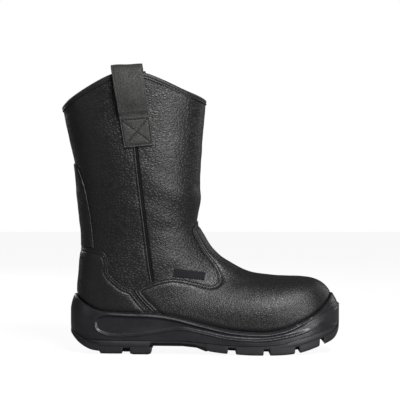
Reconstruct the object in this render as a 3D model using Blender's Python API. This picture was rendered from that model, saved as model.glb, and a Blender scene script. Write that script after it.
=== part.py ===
"""A right-foot, pull-on safety boot (rigger boot) with a steel toe cap.

The boot stands on z = 0 with its toe along +X and its outer (lateral) side along -Y.
Every length below is in millimetres; make_object() and tube() turn it into metres.

All the uppers follow one surface, the last: closed sections that start level at the collar,
turn round the instep, and end upright at the toe. Each leather or lining piece is a skin at a
fixed offset from that surface, trimmed by an outline drawn in the side view.
"""

import math
from collections import namedtuple

import bmesh
import bpy
from mathutils import Vector

MM = 0.001

# ---------------------------------------------------------------- driving dimensions

GAP = 0.4  # clearance between pieces that lie against each other
OVER_LAYER = (0.5, 2.1)  # vamp, heel cover and back stay: offsets from the last's surface
MID_LAYER = (-2.0, 0.0)  # shaft leather, toe cap, heel stiffener and vamp interlining
LINING_LAYER = (-3.8, -2.5)
PIPING_RADIUS = 1.5
BINDING_RADIUS = 2.5
SOLE_CLEARANCE = 2.6  # the sole's cavity stands this far outside the last
MARGIN = 24.0  # from the sole's edge to the inner edge of the lasting margin
CAP_MARGIN = 16.0  # the same, to the inner edge of the toe cap's flange
TOE_CAP_REAR = 98.0  # x of the steel cap's rear edge
CUSHION_WIDTH = 7.0
PLATE = (4.3, 5.3)  # heights over the last's floor: steel plate, board and footbed
BOARD = (5.7, 7.5)
FOOTBED = (7.9, 12.4)
FOOTBED_EASE = 2.6  # room round the footbed, so that it clears the lining as its heel end lifts
FILLER = (-9.0, PLATE[0] - GAP)
SHANK = (2.0, 3.6)  # heights over the last's floor
SHANK_ENDS = (-88.0, 18.0)
SHANK_HALF_WIDTH = 8.5
PIPING_HEIGHTS = (84.0, 229.0)  # from the vamp's edge up to the pull loop's foot
LOOP_THICKNESS = 1.8
LOOP_X = -69.0  # the strap's middle at its foot
LOOP_LEAN = -0.152  # the strap leans back as it rises, like the seam beneath it
LOOP_FOOT, LOOP_SEWN, LOOP_CROWN = 232.0, 260.0, 322.2
LOOP_WIDTHS = (31.8, 35.2)  # at its foot and at its crown
LOOP_SLANTS = (0.1, 0.055)  # how much its front edge stands higher than its rear edge, at foot and crown
LABEL_CENTRE = (-12.8, 89.2)
LABEL_HALF_LENGTH, LABEL_HALF_HEIGHT = 17.5, 4.4
LABEL_TILT = math.radians(-7)
LABEL_LAYER = (0.4, 1.1)
GROOVE_DEPTH = 6.5
AROUND = 26  # points in one section of the last
COLLAR_POINTS = 44
FAR = 90.0  # half the width of a cutter that spans the whole boot

# Sections of the last. front and back are the section's ends in the side view (x, z);
# outer and inner are how far it reaches to each side; ridge is the ends' own y; widest is where
# along the section it is widest; the powers make the ends rounder (2) or squarer (more).
Section = namedtuple("Section", "fx fz bx bz ridge outer inner widest front_power back_power")
SECTIONS = [
    Section(9.5, 325, -168.0, 325, 0.0, 48.5, 48.5, 0.52, 2.1, 2.1),
    Section(5.6, 285, -159.6, 285, 0.0, 49.5, 49.5, 0.52, 2.1, 2.1),
    Section(2.0, 245, -150.8, 245, 0.0, 50.5, 50.5, 0.52, 2.1, 2.1),
    Section(0.0, 210, -143.5, 210, 0.0, 50.5, 50.5, 0.51, 2.1, 2.1),
    Section(-1.0, 180, -140.2, 178, 0.0, 49.5, 49.5, 0.50, 2.1, 2.1),
    Section(-2.6, 156, -137.5, 150, 0.0, 47.0, 47.0, 0.50, 2.1, 2.1),
    Section(-2.4, 142, -135.4, 124, 0.5, 44.5, 44.0, 0.50, 2.0, 2.2),
    Section(3.5, 129, -137.4, 99, 1.0, 42.5, 41.5, 0.51, 2.0, 2.3),
    Section(11.0, 117, -139.4, 74, 1.5, 41.5, 40.0, 0.52, 2.0, 2.4),
    Section(21.0, 107.4, -139.3, 51, 2.0, 39.5, 37.5, 0.54, 2.0, 2.6),
    Section(32.0, 100.2, -130.0, 32.5, 2.5, 38.5, 36.0, 0.56, 2.0, 3.0),
    Section(44.0, 93.4, -105.0, 28.0, 3.0, 38.5, 35.0, 0.59, 2.0, 3.6),
    Section(56.7, 88.8, -66.0, 27.5, 3.5, 40.0, 36.0, 0.62, 2.0, 4.2),
    Section(70.0, 86.3, -22.0, 25.5, 4.0, 43.5, 39.5, 0.66, 2.0, 4.6),
    Section(84.3, 84.6, 22.0, 21.0, 4.5, 47.5, 44.5, 0.70, 2.1, 5.0),
    Section(99.0, 83.8, 62.0, 18.5, 5.0, 49.0, 48.5, 0.72, 2.2, 5.0),
    Section(113.0, 83.4, 95.0, 19.5, 5.5, 46.0, 48.5, 0.72, 2.3, 5.0),
    Section(126.0, 81.8, 118.5, 22.0, 6.0, 39.5, 45.0, 0.71, 2.4, 4.6),
    Section(135.6, 78.0, 134.0, 25.5, 6.5, 30.5, 38.5, 0.70, 2.4, 4.0),
    Section(142.4, 72.4, 142.4, 29.0, 7.0, 21.5, 31.0, 0.68, 2.3, 3.4),
    Section(147.0, 64.8, 147.0, 33.5, 7.0, 12.0, 23.0, 0.62, 2.2, 2.8),
    Section(149.5, 55.5, 149.3, 39.5, 7.0, 2.0, 14.5, 0.55, 2.1, 2.2),
]
TOE_POLE = (149.9, 7.0, 47.0)

# Side-view outlines (x, z).
TOPLINE = [
    (-170, 266), (-158, 276), (-145.5, 285.5), (-125, 297.5), (-106.5, 307.2), (-95, 311.3),
    (-79, 313.2), (-63, 311.3), (-54.7, 309), (-37, 301.8), (-19.8, 294.2), (-2.2, 287.6), (14, 281),
]
SIDE_SEAM = [
    (-78, 330), (-71.8, 231), (-65.5, 172.8), (-63.4, 155.8), (-59.8, 124.8), (-54.2, 84), (-46.5, 56),
    (-32.5, 34), (-14.5, 10),
]
VAMP_EDGE = [
    (12, 150.5), (-1.5, 150), (-6.5, 145.5), (-9.6, 138.2), (-7, 129), (-2.2, 120), (2.2, 112.4),
    (6.6, 106.8), (11, 101.2), (15.3, 95), (18.2, 88.3), (18.6, 82.4), (15.8, 78.6), (10.5, 77.2),
    (2.2, 78.6), (-12.2, 82.4), (-28.8, 85.4), (-39.9, 84.6), (-50.9, 82), (-59.8, 78.9), (-67.5, 75.6),
    (-74.2, 72.2), (-68.7, 63), (-62.6, 56.3), (-55.3, 49.2), (-45, 37.5), (-34, 22), (-26, 10),
]
HEEL_EDGE = [
    (-150, 121), (-137, 120.6), (-121, 118), (-110.5, 114.9), (-105, 109), (-103, 101.2), (-103.8, 94.9),
    (-102.6, 90.6), (-100, 86.9), (-96.3, 83.3), (-91.9, 79.7), (-87.4, 76.2), (-82, 73.7), (-76.6, 71.2),
    (-69.8, 62.1), (-63.7, 55.4), (-56.4, 48.3), (-46.1, 36.7), (-35.1, 21.2), (-27.2, 9),
]
STAY_EDGE = [
    (-141.5, 214), (-136.5, 203.5), (-133.3, 195), (-129.7, 183.7), (-125, 161), (-122.6, 144),
    (-120.9, 127), (-120, 118),
]
VAMP_LAP = [  # the shaft leather's lower edge, under the vamp
    (12, 142), (-6, 141.5), (-5, 134), (1, 126), (10, 117.5), (20, 102), (28.5, 89), (33, 78), (26.5, 68),
    (14, 64.4), (2, 64.8), (-14, 68.4), (-30, 70), (-42, 68.8), (-52, 65.5), (-55, 60),
    (-46, 47), (-33, 30), (-20, 12),
]
HEEL_LAP = [  # the same, under the heel cover
    (-150, 111.5), (-137, 111.5), (-122, 109), (-114.5, 105), (-112.4, 100), (-113, 92),
    (-111, 84), (-105.5, 75), (-98.5, 67.8), (-91, 62.5), (-84, 58), (-76, 48), (-64, 33), (-50, 12),
]
AHEAD_OF_VAMP = [(200, 10), (200, 153)]  # corners that close the outlines above
BEHIND_HEEL = [(-200, 8), (-200, 121)]
LINING_ANKLE, LINING_WAIST = 128.0, -30.0  # z and x of the joins between the three linings
FLOOR = [
    (-160, 31), (-140, 29), (-105, 28), (-66, 27.5), (-22, 25.5), (22, 21), (62, 18.5), (95, 19.5),
    (118, 22.3), (134, 26), (150, 31), (165, 36),
]
RIM_TOP = [
    (-165, 30), (-148, 38), (-146.4, 50), (-145.2, 58.5), (-143.6, 64), (-141.4, 67.3), (-139, 65),
    (-136, 61.8), (-130, 57), (-123.5, 52.8), (-116, 49.6), (-107, 48), (-90, 47.2), (-73, 46.4),
    (-57, 46), (-40, 44.2), (-23, 41), (-7, 36.9), (10, 32.9), (27, 29.2), (43, 27), (60, 25.9),
    (76, 26.2), (93, 29.6), (110, 36.2), (121, 41.6), (132, 49.2), (139.5, 56.6), (144, 62),
    (146.6, 65.6), (148.2, 67.7), (150.8, 65), (155.8, 58.4), (158.4, 53), (165, 40),
]
SOLE_JOIN = [
    (-165, 33), (-148, 26.5), (-137, 20), (-122, 17), (-60, 16), (-22, 16), (0, 14.5), (30, 12), (62, 11),
    (90, 13.2), (105, 17.6), (120, 22), (138, 27.4), (149, 31.5), (165, 37),
]
TREAD = [
    (-165, 32), (-148, 20.5), (-142.7, 15.5), (-137.6, 11), (-131.6, 7.2), (-125, 4.4), (-118, 2.6),
    (-113, 0.8), (-110, 0), (80, 0), (98, 0.8), (112, 3), (124, 6.4), (135, 10), (144, 13.1),
    (149, 15.6), (154.3, 20.4), (158.5, 27.5), (165, 36),
]

# The rim's arch in the front view, at the toe and at the heel: its centre's y, then (distance, z).
BUMPER_ARCH = (7.0, [(0, 67.7), (10, 66.8), (19, 64.6), (28, 60.6), (38, 54), (46, 48.5), (56, 42)])
HEEL_ARCH = (0.0, [(0, 67.4), (10, 66.2), (19, 62.6), (28, 57), (38, 51.5), (60, 44)])

# The sole's outline from above (x, y), anticlockwise from the back of the heel.
SOLE_OUTLINE = [
    (-148, 0), (-143.5, -19), (-128, -33), (-105, -39.5), (-70, -42), (-30, -45.5), (0, -50),
    (30, -54.5), (60, -56.5), (90, -55), (116, -49.5), (136, -39), (150, -24.5), (156.5, -8),
    (157.9, 7), (155.5, 21), (148.5, 35), (136, 46), (115, 53.5), (90, 56.8), (66, 56), (42, 51.5),
    (12, 46), (-20, 42), (-60, 40.5), (-95, 40), (-118, 36.5), (-137, 25),
]
ARCH = (-55.0, 0.0, 9.0)  # the recess under the waist: rear x, front x, height
GROOVES = [(-83.5, 7.5), (34.0, 8.0), (72.5, 6.0), (106.5, 4.0), (135.0, 4.5)]  # x, width
LONG_GROOVES = [(-118, -60), (8, 122)]  # x where the grooves beside the middle row start and end
LONG_GROOVE_WIDTH = 4.0
CENTRE_ROW = 15.0  # half the width of the middle row of lugs and of the grooves beside it

COLOURS = {  # material: (colour, roughness, metallic)
    "grained_leather": ((0.030, 0.030, 0.031), 0.55, 0.0),
    "smooth_leather": ((0.026, 0.026, 0.028), 0.48, 0.0),
    "strap_leather": ((0.032, 0.032, 0.032), 0.60, 0.0),
    "binding": ((0.018, 0.018, 0.019), 0.45, 0.0),
    "polyurethane": ((0.030, 0.031, 0.036), 0.60, 0.0),
    "tread_rubber": ((0.024, 0.025, 0.029), 0.68, 0.0),
    "lining_textile": ((0.10, 0.10, 0.105), 0.90, 0.0),
    "foam": ((0.16, 0.16, 0.17), 0.95, 0.0),
    "board": ((0.42, 0.38, 0.31), 0.90, 0.0),
    "steel": ((0.50, 0.51, 0.52), 0.35, 1.0),
    "label_textile": ((0.035, 0.036, 0.045), 0.80, 0.0),
}


# ---------------------------------------------------------------- curves and small helpers

def spline(points, position):
    """The point at a position (0 to len - 1) on a Catmull-Rom curve through points of any size."""
    last = len(points) - 1
    i = min(max(int(position), 0), last - 1)
    t = position - i
    p0, p1, p2, p3 = (points[min(max(i + k, 0), last)] for k in (-1, 0, 1, 2))
    return [
        0.5 * (2 * b + (c - a) * t + (2 * a - 5 * b + 4 * c - d) * t**2 + (3 * b - a - 3 * c + d) * t**3)
        for a, b, c, d in zip(p0, p1, p2, p3)
    ]


def smooth(points, steps):
    """An open curve through points, with steps pieces between each two."""
    count = (len(points) - 1) * steps
    return [spline(points, i / steps) for i in range(count + 1)]


def smooth_loop(points, steps):
    """A closed curve through points."""
    padded = [*points[-2:], *points, *points[:3]]
    return [spline(padded, 2 + i / steps) for i in range(len(points) * steps)]


def height(curve, x):
    """The z at x on a side-view curve whose points run along +X."""
    for (x0, z0), (x1, z1) in zip(curve, curve[1:]):
        if x <= x1:
            return z0 + (z1 - z0) * (x - x0) / (x1 - x0)
    return curve[-1][1]


def raised(curve, rise):
    return [(x, z + rise) for x, z in curve]


def shifted_outline(points, distance):
    """An open side-view curve moved sideways by distance, to the left of its direction."""
    moved = []
    for i, (x, z) in enumerate(points):
        x0, z0 = points[max(i - 1, 0)]
        x1, z1 = points[min(i + 1, len(points) - 1)]
        length = math.hypot(x1 - x0, z1 - z0)
        moved.append((x - distance * (z1 - z0) / length, z + distance * (x1 - x0) / length))
    return moved


def inset_loop(points, distance):
    """A closed, anticlockwise outline moved inwards by distance."""
    moved = []
    for i, (x, y) in enumerate(points):
        (x0, y0), (x1, y1) = points[i - 1], points[(i + 1) % len(points)]
        length = math.hypot(x1 - x0, y1 - y0)
        moved.append((x - distance * (y1 - y0) / length, y + distance * (x1 - x0) / length))
    return moved


# ---------------------------------------------------------------- the last

def section_at(station):
    return Section(*spline(SECTIONS, station))


def section_point(section, angle):
    """A point of the section: angle 0 is its front or top end, a half turn its back or bottom."""
    c, s = math.cos(angle), math.sin(angle)
    power = 2 / (section.front_power if c > 0 else section.back_power)
    reach = abs(c) ** power
    along = section.widest - (section.widest * reach if c > 0 else -(1 - section.widest) * reach)
    side = -(section.outer + section.ridge) if s > 0 else section.inner - section.ridge
    return Vector((
        section.fx + along * (section.bx - section.fx),
        section.ridge + side * abs(s) ** power,
        section.fz + along * (section.bz - section.fz),
    ))


def ring_stations():
    """Stations of the mesh's rings: every section, and the half steps where the last turns."""
    count = len(SECTIONS)
    halves = [i + 0.5 for i in range(count - 1) if 6 <= i <= 10 or i >= 16]
    return sorted([float(i) for i in range(count)] + halves)


def last_points(offset):
    """The rings of the last's surface moved outwards by offset, and its pole at the toe."""
    stations = ring_stations()
    angles = [2 * math.pi * j / AROUND for j in range(AROUND)]
    rings = []
    for station in stations:
        here = section_at(station)
        ahead = section_at(min(station + 0.05, len(SECTIONS) - 1.0))
        behind = section_at(max(station - 0.05, 0.0))
        ring = []
        for angle in angles:
            along = section_point(ahead, angle) - section_point(behind, angle)
            around = section_point(here, angle + 0.03) - section_point(here, angle - 0.03)
            ring.append(section_point(here, angle) + around.cross(along).normalized() * offset)
        rings.append(ring)
    pole = Vector(TOE_POLE) + Vector((offset, 0, 0))
    return rings, pole


def add_last(bm, offset, inwards=False):
    """Adds the last's open surface to bm and returns its collar ring."""
    rings, pole = last_points(offset)
    verts = [[bm.verts.new(p) for p in ring] for ring in rings]
    faces = []
    for ring, following in zip(verts, verts[1:]):
        for j in range(AROUND):
            k = (j + 1) % AROUND
            faces.append((ring[j], following[j], following[k]))
            faces.append((ring[j], following[k], ring[k]))
    tip = bm.verts.new(pole)
    faces += [(verts[-1][j], tip, verts[-1][(j + 1) % AROUND]) for j in range(AROUND)]
    for face in faces:
        bm.faces.new(face[::-1] if inwards else face)
    return verts[0]


# ---------------------------------------------------------------- making objects

def material(name):
    found = bpy.data.materials.get(name)
    if found:
        return found
    colour, roughness, metallic = COLOURS[name]
    made = bpy.data.materials.new(name)
    made.use_nodes = True
    shader = made.node_tree.nodes["Principled BSDF"]
    shader.inputs["Base Color"].default_value = (*colour, 1)
    shader.inputs["Roughness"].default_value = roughness
    shader.inputs["Metallic"].default_value = metallic
    return made


def make_object(name, bm, finish=None):
    """An object of a bmesh in millimetres. Without a finish it is a cutter, and isn't rendered."""
    bmesh.ops.scale(bm, vec=(MM, MM, MM), verts=bm.verts)
    bmesh.ops.recalc_face_normals(bm, faces=bm.faces)
    mesh = bpy.data.meshes.new(name)
    bm.to_mesh(mesh)
    bm.free()
    obj = bpy.data.objects.new(name, mesh)
    bpy.context.scene.collection.objects.link(obj)
    if finish:
        mesh.materials.append(material(finish))
        mesh.shade_smooth()
        mesh.set_sharp_from_angle(angle=math.radians(35))
    else:
        obj.hide_render = True
        obj.display_type = "WIRE"
    return obj


def combine(obj, operation, *cutters):
    """Cuts obj by, limits it to, or joins it with each cutter."""
    for cutter in cutters:
        modifier = obj.modifiers.new(cutter.name, "BOOLEAN")
        modifier.operation = operation
        modifier.object = cutter
    return obj


def prism(name, outline, low, high, plane="xz", finish=None):
    """A side-view (xz), plan (xy) or front-view (yz) outline extruded from low to high."""
    place = {
        "xz": lambda a, b, level: (a, level, b),
        "xy": lambda a, b, level: (a, b, level),
        "yz": lambda a, b, level: (level, a, b),
    }[plane]
    bm = bmesh.new()
    first, second = ([bm.verts.new(place(a, b, level)) for a, b in outline] for level in (low, high))
    bm.faces.new(first)
    bm.faces.new(second)
    for i in range(len(outline)):
        k = (i + 1) % len(outline)
        bm.faces.new((first[i], first[k], second[k], second[i]))
    return make_object(name, bm, finish)


def band(name, lower, upper, finish=None):
    """A slab across the whole boot between two side-view curves that run along +X."""
    return prism(name, [*lower, *reversed(upper)], -FAR, FAR, finish=finish)


def skin(name, layer, finish):
    """The whole upper's surface as a closed skin between two offsets, open at the collar."""
    bm = bmesh.new()
    inner = add_last(bm, layer[0], inwards=True)
    outer = add_last(bm, layer[1])
    for j in range(AROUND):
        k = (j + 1) % AROUND
        bm.faces.new((outer[j], outer[k], inner[k], inner[j]))
    return make_object(name, bm, finish)


def solid_last(name, offset, finish=None):
    """The last as a closed solid, capped above the collar."""
    bm = bmesh.new()
    bm.faces.new(add_last(bm, offset))
    return make_object(name, bm, finish)


def tube(name, points, radius, finish, closed=False):
    curve = bpy.data.curves.new(name, "CURVE")
    curve.dimensions = "3D"
    curve.bevel_depth = radius * MM
    curve.bevel_resolution = 2
    curve.use_fill_caps = True
    line = curve.splines.new("POLY")
    line.points.add(len(points) - 1)
    for target, point in zip(line.points, points):
        target.co = (*(Vector(point) * MM), 1)
    line.use_cyclic_u = closed
    curve.materials.append(material(finish))
    obj = bpy.data.objects.new(name, curve)
    bpy.context.scene.collection.objects.link(obj)
    return obj


# ---------------------------------------------------------------- places on the surface

def surface_point(x, z, side, offset):
    """The point of the last at a side-view position, on the outer (-1) or inner (+1) side."""
    low, high = 0.0, len(SECTIONS) - 1.0
    for _ in range(40):
        middle = (low + high) / 2
        section = section_at(middle)
        across = (section.bx - section.fx) * (z - section.fz) - (section.bz - section.fz) * (x - section.fx)
        low, high = (middle, high) if across > 0 else (low, middle)
    section = section_at(low)
    run = Vector((section.bx - section.fx, section.bz - section.fz))
    share = run.dot(Vector((x - section.fx, z - section.fz))) / run.length_squared
    share = min(max(share, 0.0), 1.0)
    if share < section.widest:
        depth = 1 - share / section.widest
        power = section.front_power
    else:
        depth = (share - section.widest) / (1 - section.widest)
        power = section.back_power
    reach = max(1 - depth**power, 0.0) ** (1 / power)
    edge = -section.outer if side < 0 else section.inner
    return Vector((x, section.ridge + (edge - section.ridge) * reach + side * offset, z))


# ---------------------------------------------------------------- upper

def shaft_top():
    """Everything under the shaft leather's top edge, which stops short of the binding."""
    edge = shifted_outline(smooth(TOPLINE, 2), -BINDING_RADIUS - 3 * GAP)
    corners = [(60, 281), (200, 281), (200, -20), (-200, -20), (-200, 266)]
    return region("cut_topline", edge, corners)


def lasting_hole(name, margin):
    """What is cut out of the upper's bottom, inside the margin that is glued under the board."""
    return prism(name, inset_loop(smooth_loop(SOLE_OUTLINE, 1), margin), -10, 52, plane="xy")


def region(name, edge, closing):
    """A cutter whose side-view outline is a seam line closed by outer corners."""
    return prism(name, [*edge, *closing], -FAR, FAR)


def add_piece(name, layer, finish, within, without=()):
    """A skin at a layer's offsets, limited to some cutters and cut by others."""
    piece = combine(skin(name, layer, finish), "INTERSECT", *within)
    return combine(piece, "DIFFERENCE", *without)


def add_overlays(hole):
    """The vamp, the heel cover and the back stay, which lie on the shaft leather."""
    vamp_area = region("cut_vamp", smooth(VAMP_EDGE, 2), AHEAD_OF_VAMP)
    heel_edge = smooth(HEEL_EDGE, 2)
    heel_area = region("cut_heel", heel_edge, BEHIND_HEEL)
    stay_area = region("cut_stay", STAY_EDGE, [(-200, 118), (-200, 214)])
    stay_foot = raised(heel_edge[:12], GAP)
    above_heel = region("cut_above_heel", stay_foot, [(-60, 122), (-60, 300), (-200, 300), (-200, 121)])
    add_piece("vamp", OVER_LAYER, "smooth_leather", [vamp_area], [hole])
    add_piece("heel_cover", OVER_LAYER, "smooth_leather", [heel_area], [hole])
    add_piece("back_stay", OVER_LAYER, "smooth_leather", [stay_area, above_heel])


def add_shaft(hole):
    """The front panel and the two rear panels, parted by the side seams and down the back."""
    top = shaft_top()
    seam_gap = PIPING_RADIUS + GAP
    seam = smooth(SIDE_SEAM, 2)
    ahead = region("cut_ahead_of_seam", shifted_outline(seam, seam_gap), [(200, 10), (200, 330)])
    behind = [*shifted_outline(seam, -seam_gap), (-12, -20), (-200, -20), (-200, 330)]
    vamp_lap = region("cut_vamp_lap_clear", shifted_outline(VAMP_LAP, -GAP), AHEAD_OF_VAMP)
    heel_lap = region("cut_heel_lap_clear", shifted_outline(HEEL_LAP, GAP), BEHIND_HEEL)
    add_piece("front_shaft_panel", MID_LAYER, "grained_leather", [top, ahead], [vamp_lap])
    for side, low, high in (("outer", -FAR, -GAP / 2), ("inner", GAP / 2, FAR)):
        half = prism(f"cut_behind_seam_{side}", behind, low, high)
        name = f"{side}_rear_shaft_panel"
        add_piece(name, MID_LAYER, "grained_leather", [top, half], [vamp_lap, heel_lap, hole])


def add_stiffening(hole):
    """What fills the leather's place under the vamp and the heel cover: the steel cap among them."""
    cushion_rear = TOE_CAP_REAR - CUSHION_WIDTH
    heel_lap = region("cut_heel_lap", HEEL_LAP, BEHIND_HEEL)
    vamp_lap = region("cut_vamp_lap", VAMP_LAP, AHEAD_OF_VAMP)
    past_interlining = box_x("cut_past_interlining", cushion_rear - GAP, 200)
    cushion_band = box_x("cut_cushion", cushion_rear, TOE_CAP_REAR - GAP)
    cap_area = box_x("cut_cap", TOE_CAP_REAR, 200)
    add_piece("heel_stiffener", MID_LAYER, "board", [heel_lap], [hole])
    add_piece("vamp_interlining", MID_LAYER, "foam", [vamp_lap], [past_interlining, hole])
    add_piece("toe_cap_edge_cushion", MID_LAYER, "foam", [cushion_band], [hole])
    add_piece("steel_toe_cap", MID_LAYER, "steel", [cap_area], [lasting_hole("cut_cap_margin", CAP_MARGIN)])


def box_x(name, low, high):
    return prism(name, [(low, -20), (high, -20), (high, 340), (low, 340)], -FAR, FAR)


def add_linings():
    top, hole = shaft_top(), lasting_hole("cut_lining_margin", MARGIN)
    below = LINING_ANKLE - GAP
    shaft = [(-200, LINING_ANKLE), (200, LINING_ANKLE), (200, 340), (-200, 340)]
    front = [(LINING_WAIST, -20), (200, -20), (200, below), (LINING_WAIST, below)]
    rear_end = LINING_WAIST - GAP
    rear = [(-200, -20), (rear_end, -20), (rear_end, below), (-200, below)]
    pieces = (
        ("shaft_lining", shaft, [top], []),
        ("vamp_lining", front, [], [hole]),
        ("heel_lining", rear, [], [hole]),
    )
    for name, outline, within, without in pieces:
        area = prism(f"cut_{name}", outline, -FAR, FAR)
        add_piece(name, LINING_LAYER, "lining_textile", [*within, area], without)


def add_trim():
    """The binding round the collar, the piping down each side seam, and the woven label."""
    middle = (MID_LAYER[1] + LINING_LAYER[0]) / 2
    ring = [drawn_in(collar_point(2 * math.pi * j / COLLAR_POINTS), middle) for j in range(COLLAR_POINTS)]
    tube("collar_binding", ring, BINDING_RADIUS, "binding", closed=True)

    low, high = PIPING_HEIGHTS
    seam = [(x, z) for x, z in smooth(SIDE_SEAM, 6) if low < z < high]
    for name, side in (("outer_side_piping", -1), ("inner_side_piping", 1)):
        tube(name, [surface_point(x, z, side, 0.2) for x, z in seam], PIPING_RADIUS, "binding")


def collar_point(angle):
    """Where the last's line at an angle meets the collar's edge."""
    edge = smooth(TOPLINE, 2)
    high, low = 0.0, 2.0
    for _ in range(30):
        middle = (high + low) / 2
        point = section_point(section_at(middle), angle)
        high, low = (middle, low) if point.z > height(edge, point.x) else (high, middle)
    return point


def drawn_in(point, offset):
    """A collar point moved level along the line to the collar's middle, by offset outwards."""
    centre = Vector((-76, 0, point.z))
    return point + (point - centre).normalized() * offset


def add_label():
    """A plain woven label stitched low on the outer side of the front shaft leather."""
    cos, sin = math.cos(LABEL_TILT), math.sin(LABEL_TILT)
    bm = bmesh.new()
    layers = []
    for offset in LABEL_LAYER:
        grid = []
        for j in (-1, 1):
            for i in range(-3, 4):
                along, up = LABEL_HALF_LENGTH * i / 3, LABEL_HALF_HEIGHT * j
                x = LABEL_CENTRE[0] + along * cos - up * sin
                z = LABEL_CENTRE[1] + along * sin + up * cos
                grid.append(bm.verts.new(surface_point(x, z, -1, offset)))
        layers.append(grid)
    low, high = layers
    count = len(low) // 2
    for i in range(count - 1):
        bm.faces.new((low[i], low[i + 1], low[count + i + 1], low[count + i]))
        bm.faces.new((high[i], high[i + 1], high[count + i + 1], high[count + i]))
    border = [*range(count), *reversed(range(count, 2 * count))]
    for a, b in zip(border, [*border[1:], border[0]]):
        bm.faces.new((low[a], low[b], high[b], high[a]))
    make_object("side_label", bm, "label_textile")


def loop_path(side):
    """The strap's middle line: (distance from the boot's middle plane, z), from its foot over the top."""
    wall = abs(surface_point(-75, 270, side, 0).y)
    top_wall = abs(surface_point(-80, 310, side, 0).y)
    outer_face = GAP + LOOP_THICKNESS / 2
    inner_face = -LINING_LAYER[0] + outer_face
    foot, tack, sewn = (
        abs(surface_point(x, z, side, 0).y) + outer_face
        for x, z in ((-69, LOOP_FOOT), (-71, 246), (-73, LOOP_SEWN))
    )
    return [
        (foot, LOOP_FOOT), (tack + 0.3, 246), (sewn + 0.8, LOOP_SEWN),
        (wall + 5.2, 271), (wall + 8.4, 284), (wall + 8.4, 298), (top_wall + 6.0, 312),
        (top_wall + 2.4, LOOP_CROWN - 3.0), (top_wall - 3.0, LOOP_CROWN), (top_wall - 9.0, LOOP_CROWN - 4.2),
        (top_wall - 13.0, 309), (wall - 13.0, 296), (wall - inner_face - 3.6, 284),
        (wall - inner_face - 1.9, 270), (wall - inner_face - 1.6, 256),
    ]


def loop_point(across, side, y, z):
    """A point of the strap, across (-1 to 1) its width, where its middle line stands at y and z."""
    share = (z - LOOP_FOOT) / (LOOP_CROWN - LOOP_FOOT)
    half = (LOOP_WIDTHS[0] + share * (LOOP_WIDTHS[1] - LOOP_WIDTHS[0])) / 2
    slant = LOOP_SLANTS[0] + share * (LOOP_SLANTS[1] - LOOP_SLANTS[0])
    x = LOOP_X + LOOP_LEAN * (z - LOOP_FOOT) + half * across
    return x, side * y, z + half * across * slant


def add_pull_loops():
    """A strap over the collar at each side, sewn down outside and inside, with finger room."""
    for name, side in (("outer_pull_loop", -1), ("inner_pull_loop", 1)):
        line = smooth(loop_path(side), 2)
        bm = bmesh.new()
        rails = []
        for sign in (1, -1):
            face = shifted_outline(line, sign * LOOP_THICKNESS / 2)
            for across in (-1, 1):
                rails.append([bm.verts.new(loop_point(across, side, y, z)) for y, z in face])
        corners = (rails[0], rails[1], rails[3], rails[2])
        for a, b in zip(corners, [*corners[1:], corners[0]]):
            for i in range(len(line) - 1):
                bm.faces.new((a[i], a[i + 1], b[i + 1], b[i]))
        bm.faces.new([rail[0] for rail in corners])
        bm.faces.new([rail[-1] for rail in corners])
        make_object(name, bm, "strap_leather")


# ---------------------------------------------------------------- inside and underneath

def floor_band(name, heights, finish=None):
    """A slab along the last's floor, between two heights over it."""
    low, high = heights
    return band(name, raised(FLOOR, low), raised(FLOOR, high), finish)


def add_plate(name, heights, offset, finish):
    """A plate of the last's own outline, lying along its floor."""
    return combine(floor_band(name, heights, finish), "INTERSECT", solid_last(f"cut_{name}", offset))


def shank_plan(ease):
    """The shank's outline from above, grown by ease on every side."""
    rear, front = SHANK_ENDS
    half = SHANK_HALF_WIDTH + ease
    return [(rear - ease, -half), (front + ease, -half), (front + ease, half), (rear - ease, half)]


def add_bottom():
    inside = LINING_LAYER[0] - GAP
    add_plate("steel_midsole_plate", PLATE, inside, "steel")
    add_plate("insole_board", BOARD, inside, "board")
    add_plate("footbed", FOOTBED, inside - FOOTBED_EASE, "foam")

    filler = floor_band("bottom_filler", FILLER, "foam")
    outline = inset_loop(smooth_loop(SOLE_OUTLINE, 1), MARGIN + GAP)
    within = solid_last("cut_filler_last", SOLE_CLEARANCE - GAP)
    combine(filler, "INTERSECT", within, prism("cut_filler", outline, -20, 60, plane="xy"))

    shank = floor_band("steel_shank", SHANK, "steel")
    combine(shank, "INTERSECT", prism("cut_shank", shank_plan(0), -20, 60, plane="xy"))
    pocket = floor_band("cut_pocket", (SHANK[0] - GAP, FILLER[1] + 5))
    combine(pocket, "INTERSECT", prism("cut_pocket_plan", shank_plan(1), -20, 60, plane="xy"))
    combine(filler, "DIFFERENCE", pocket)


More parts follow.
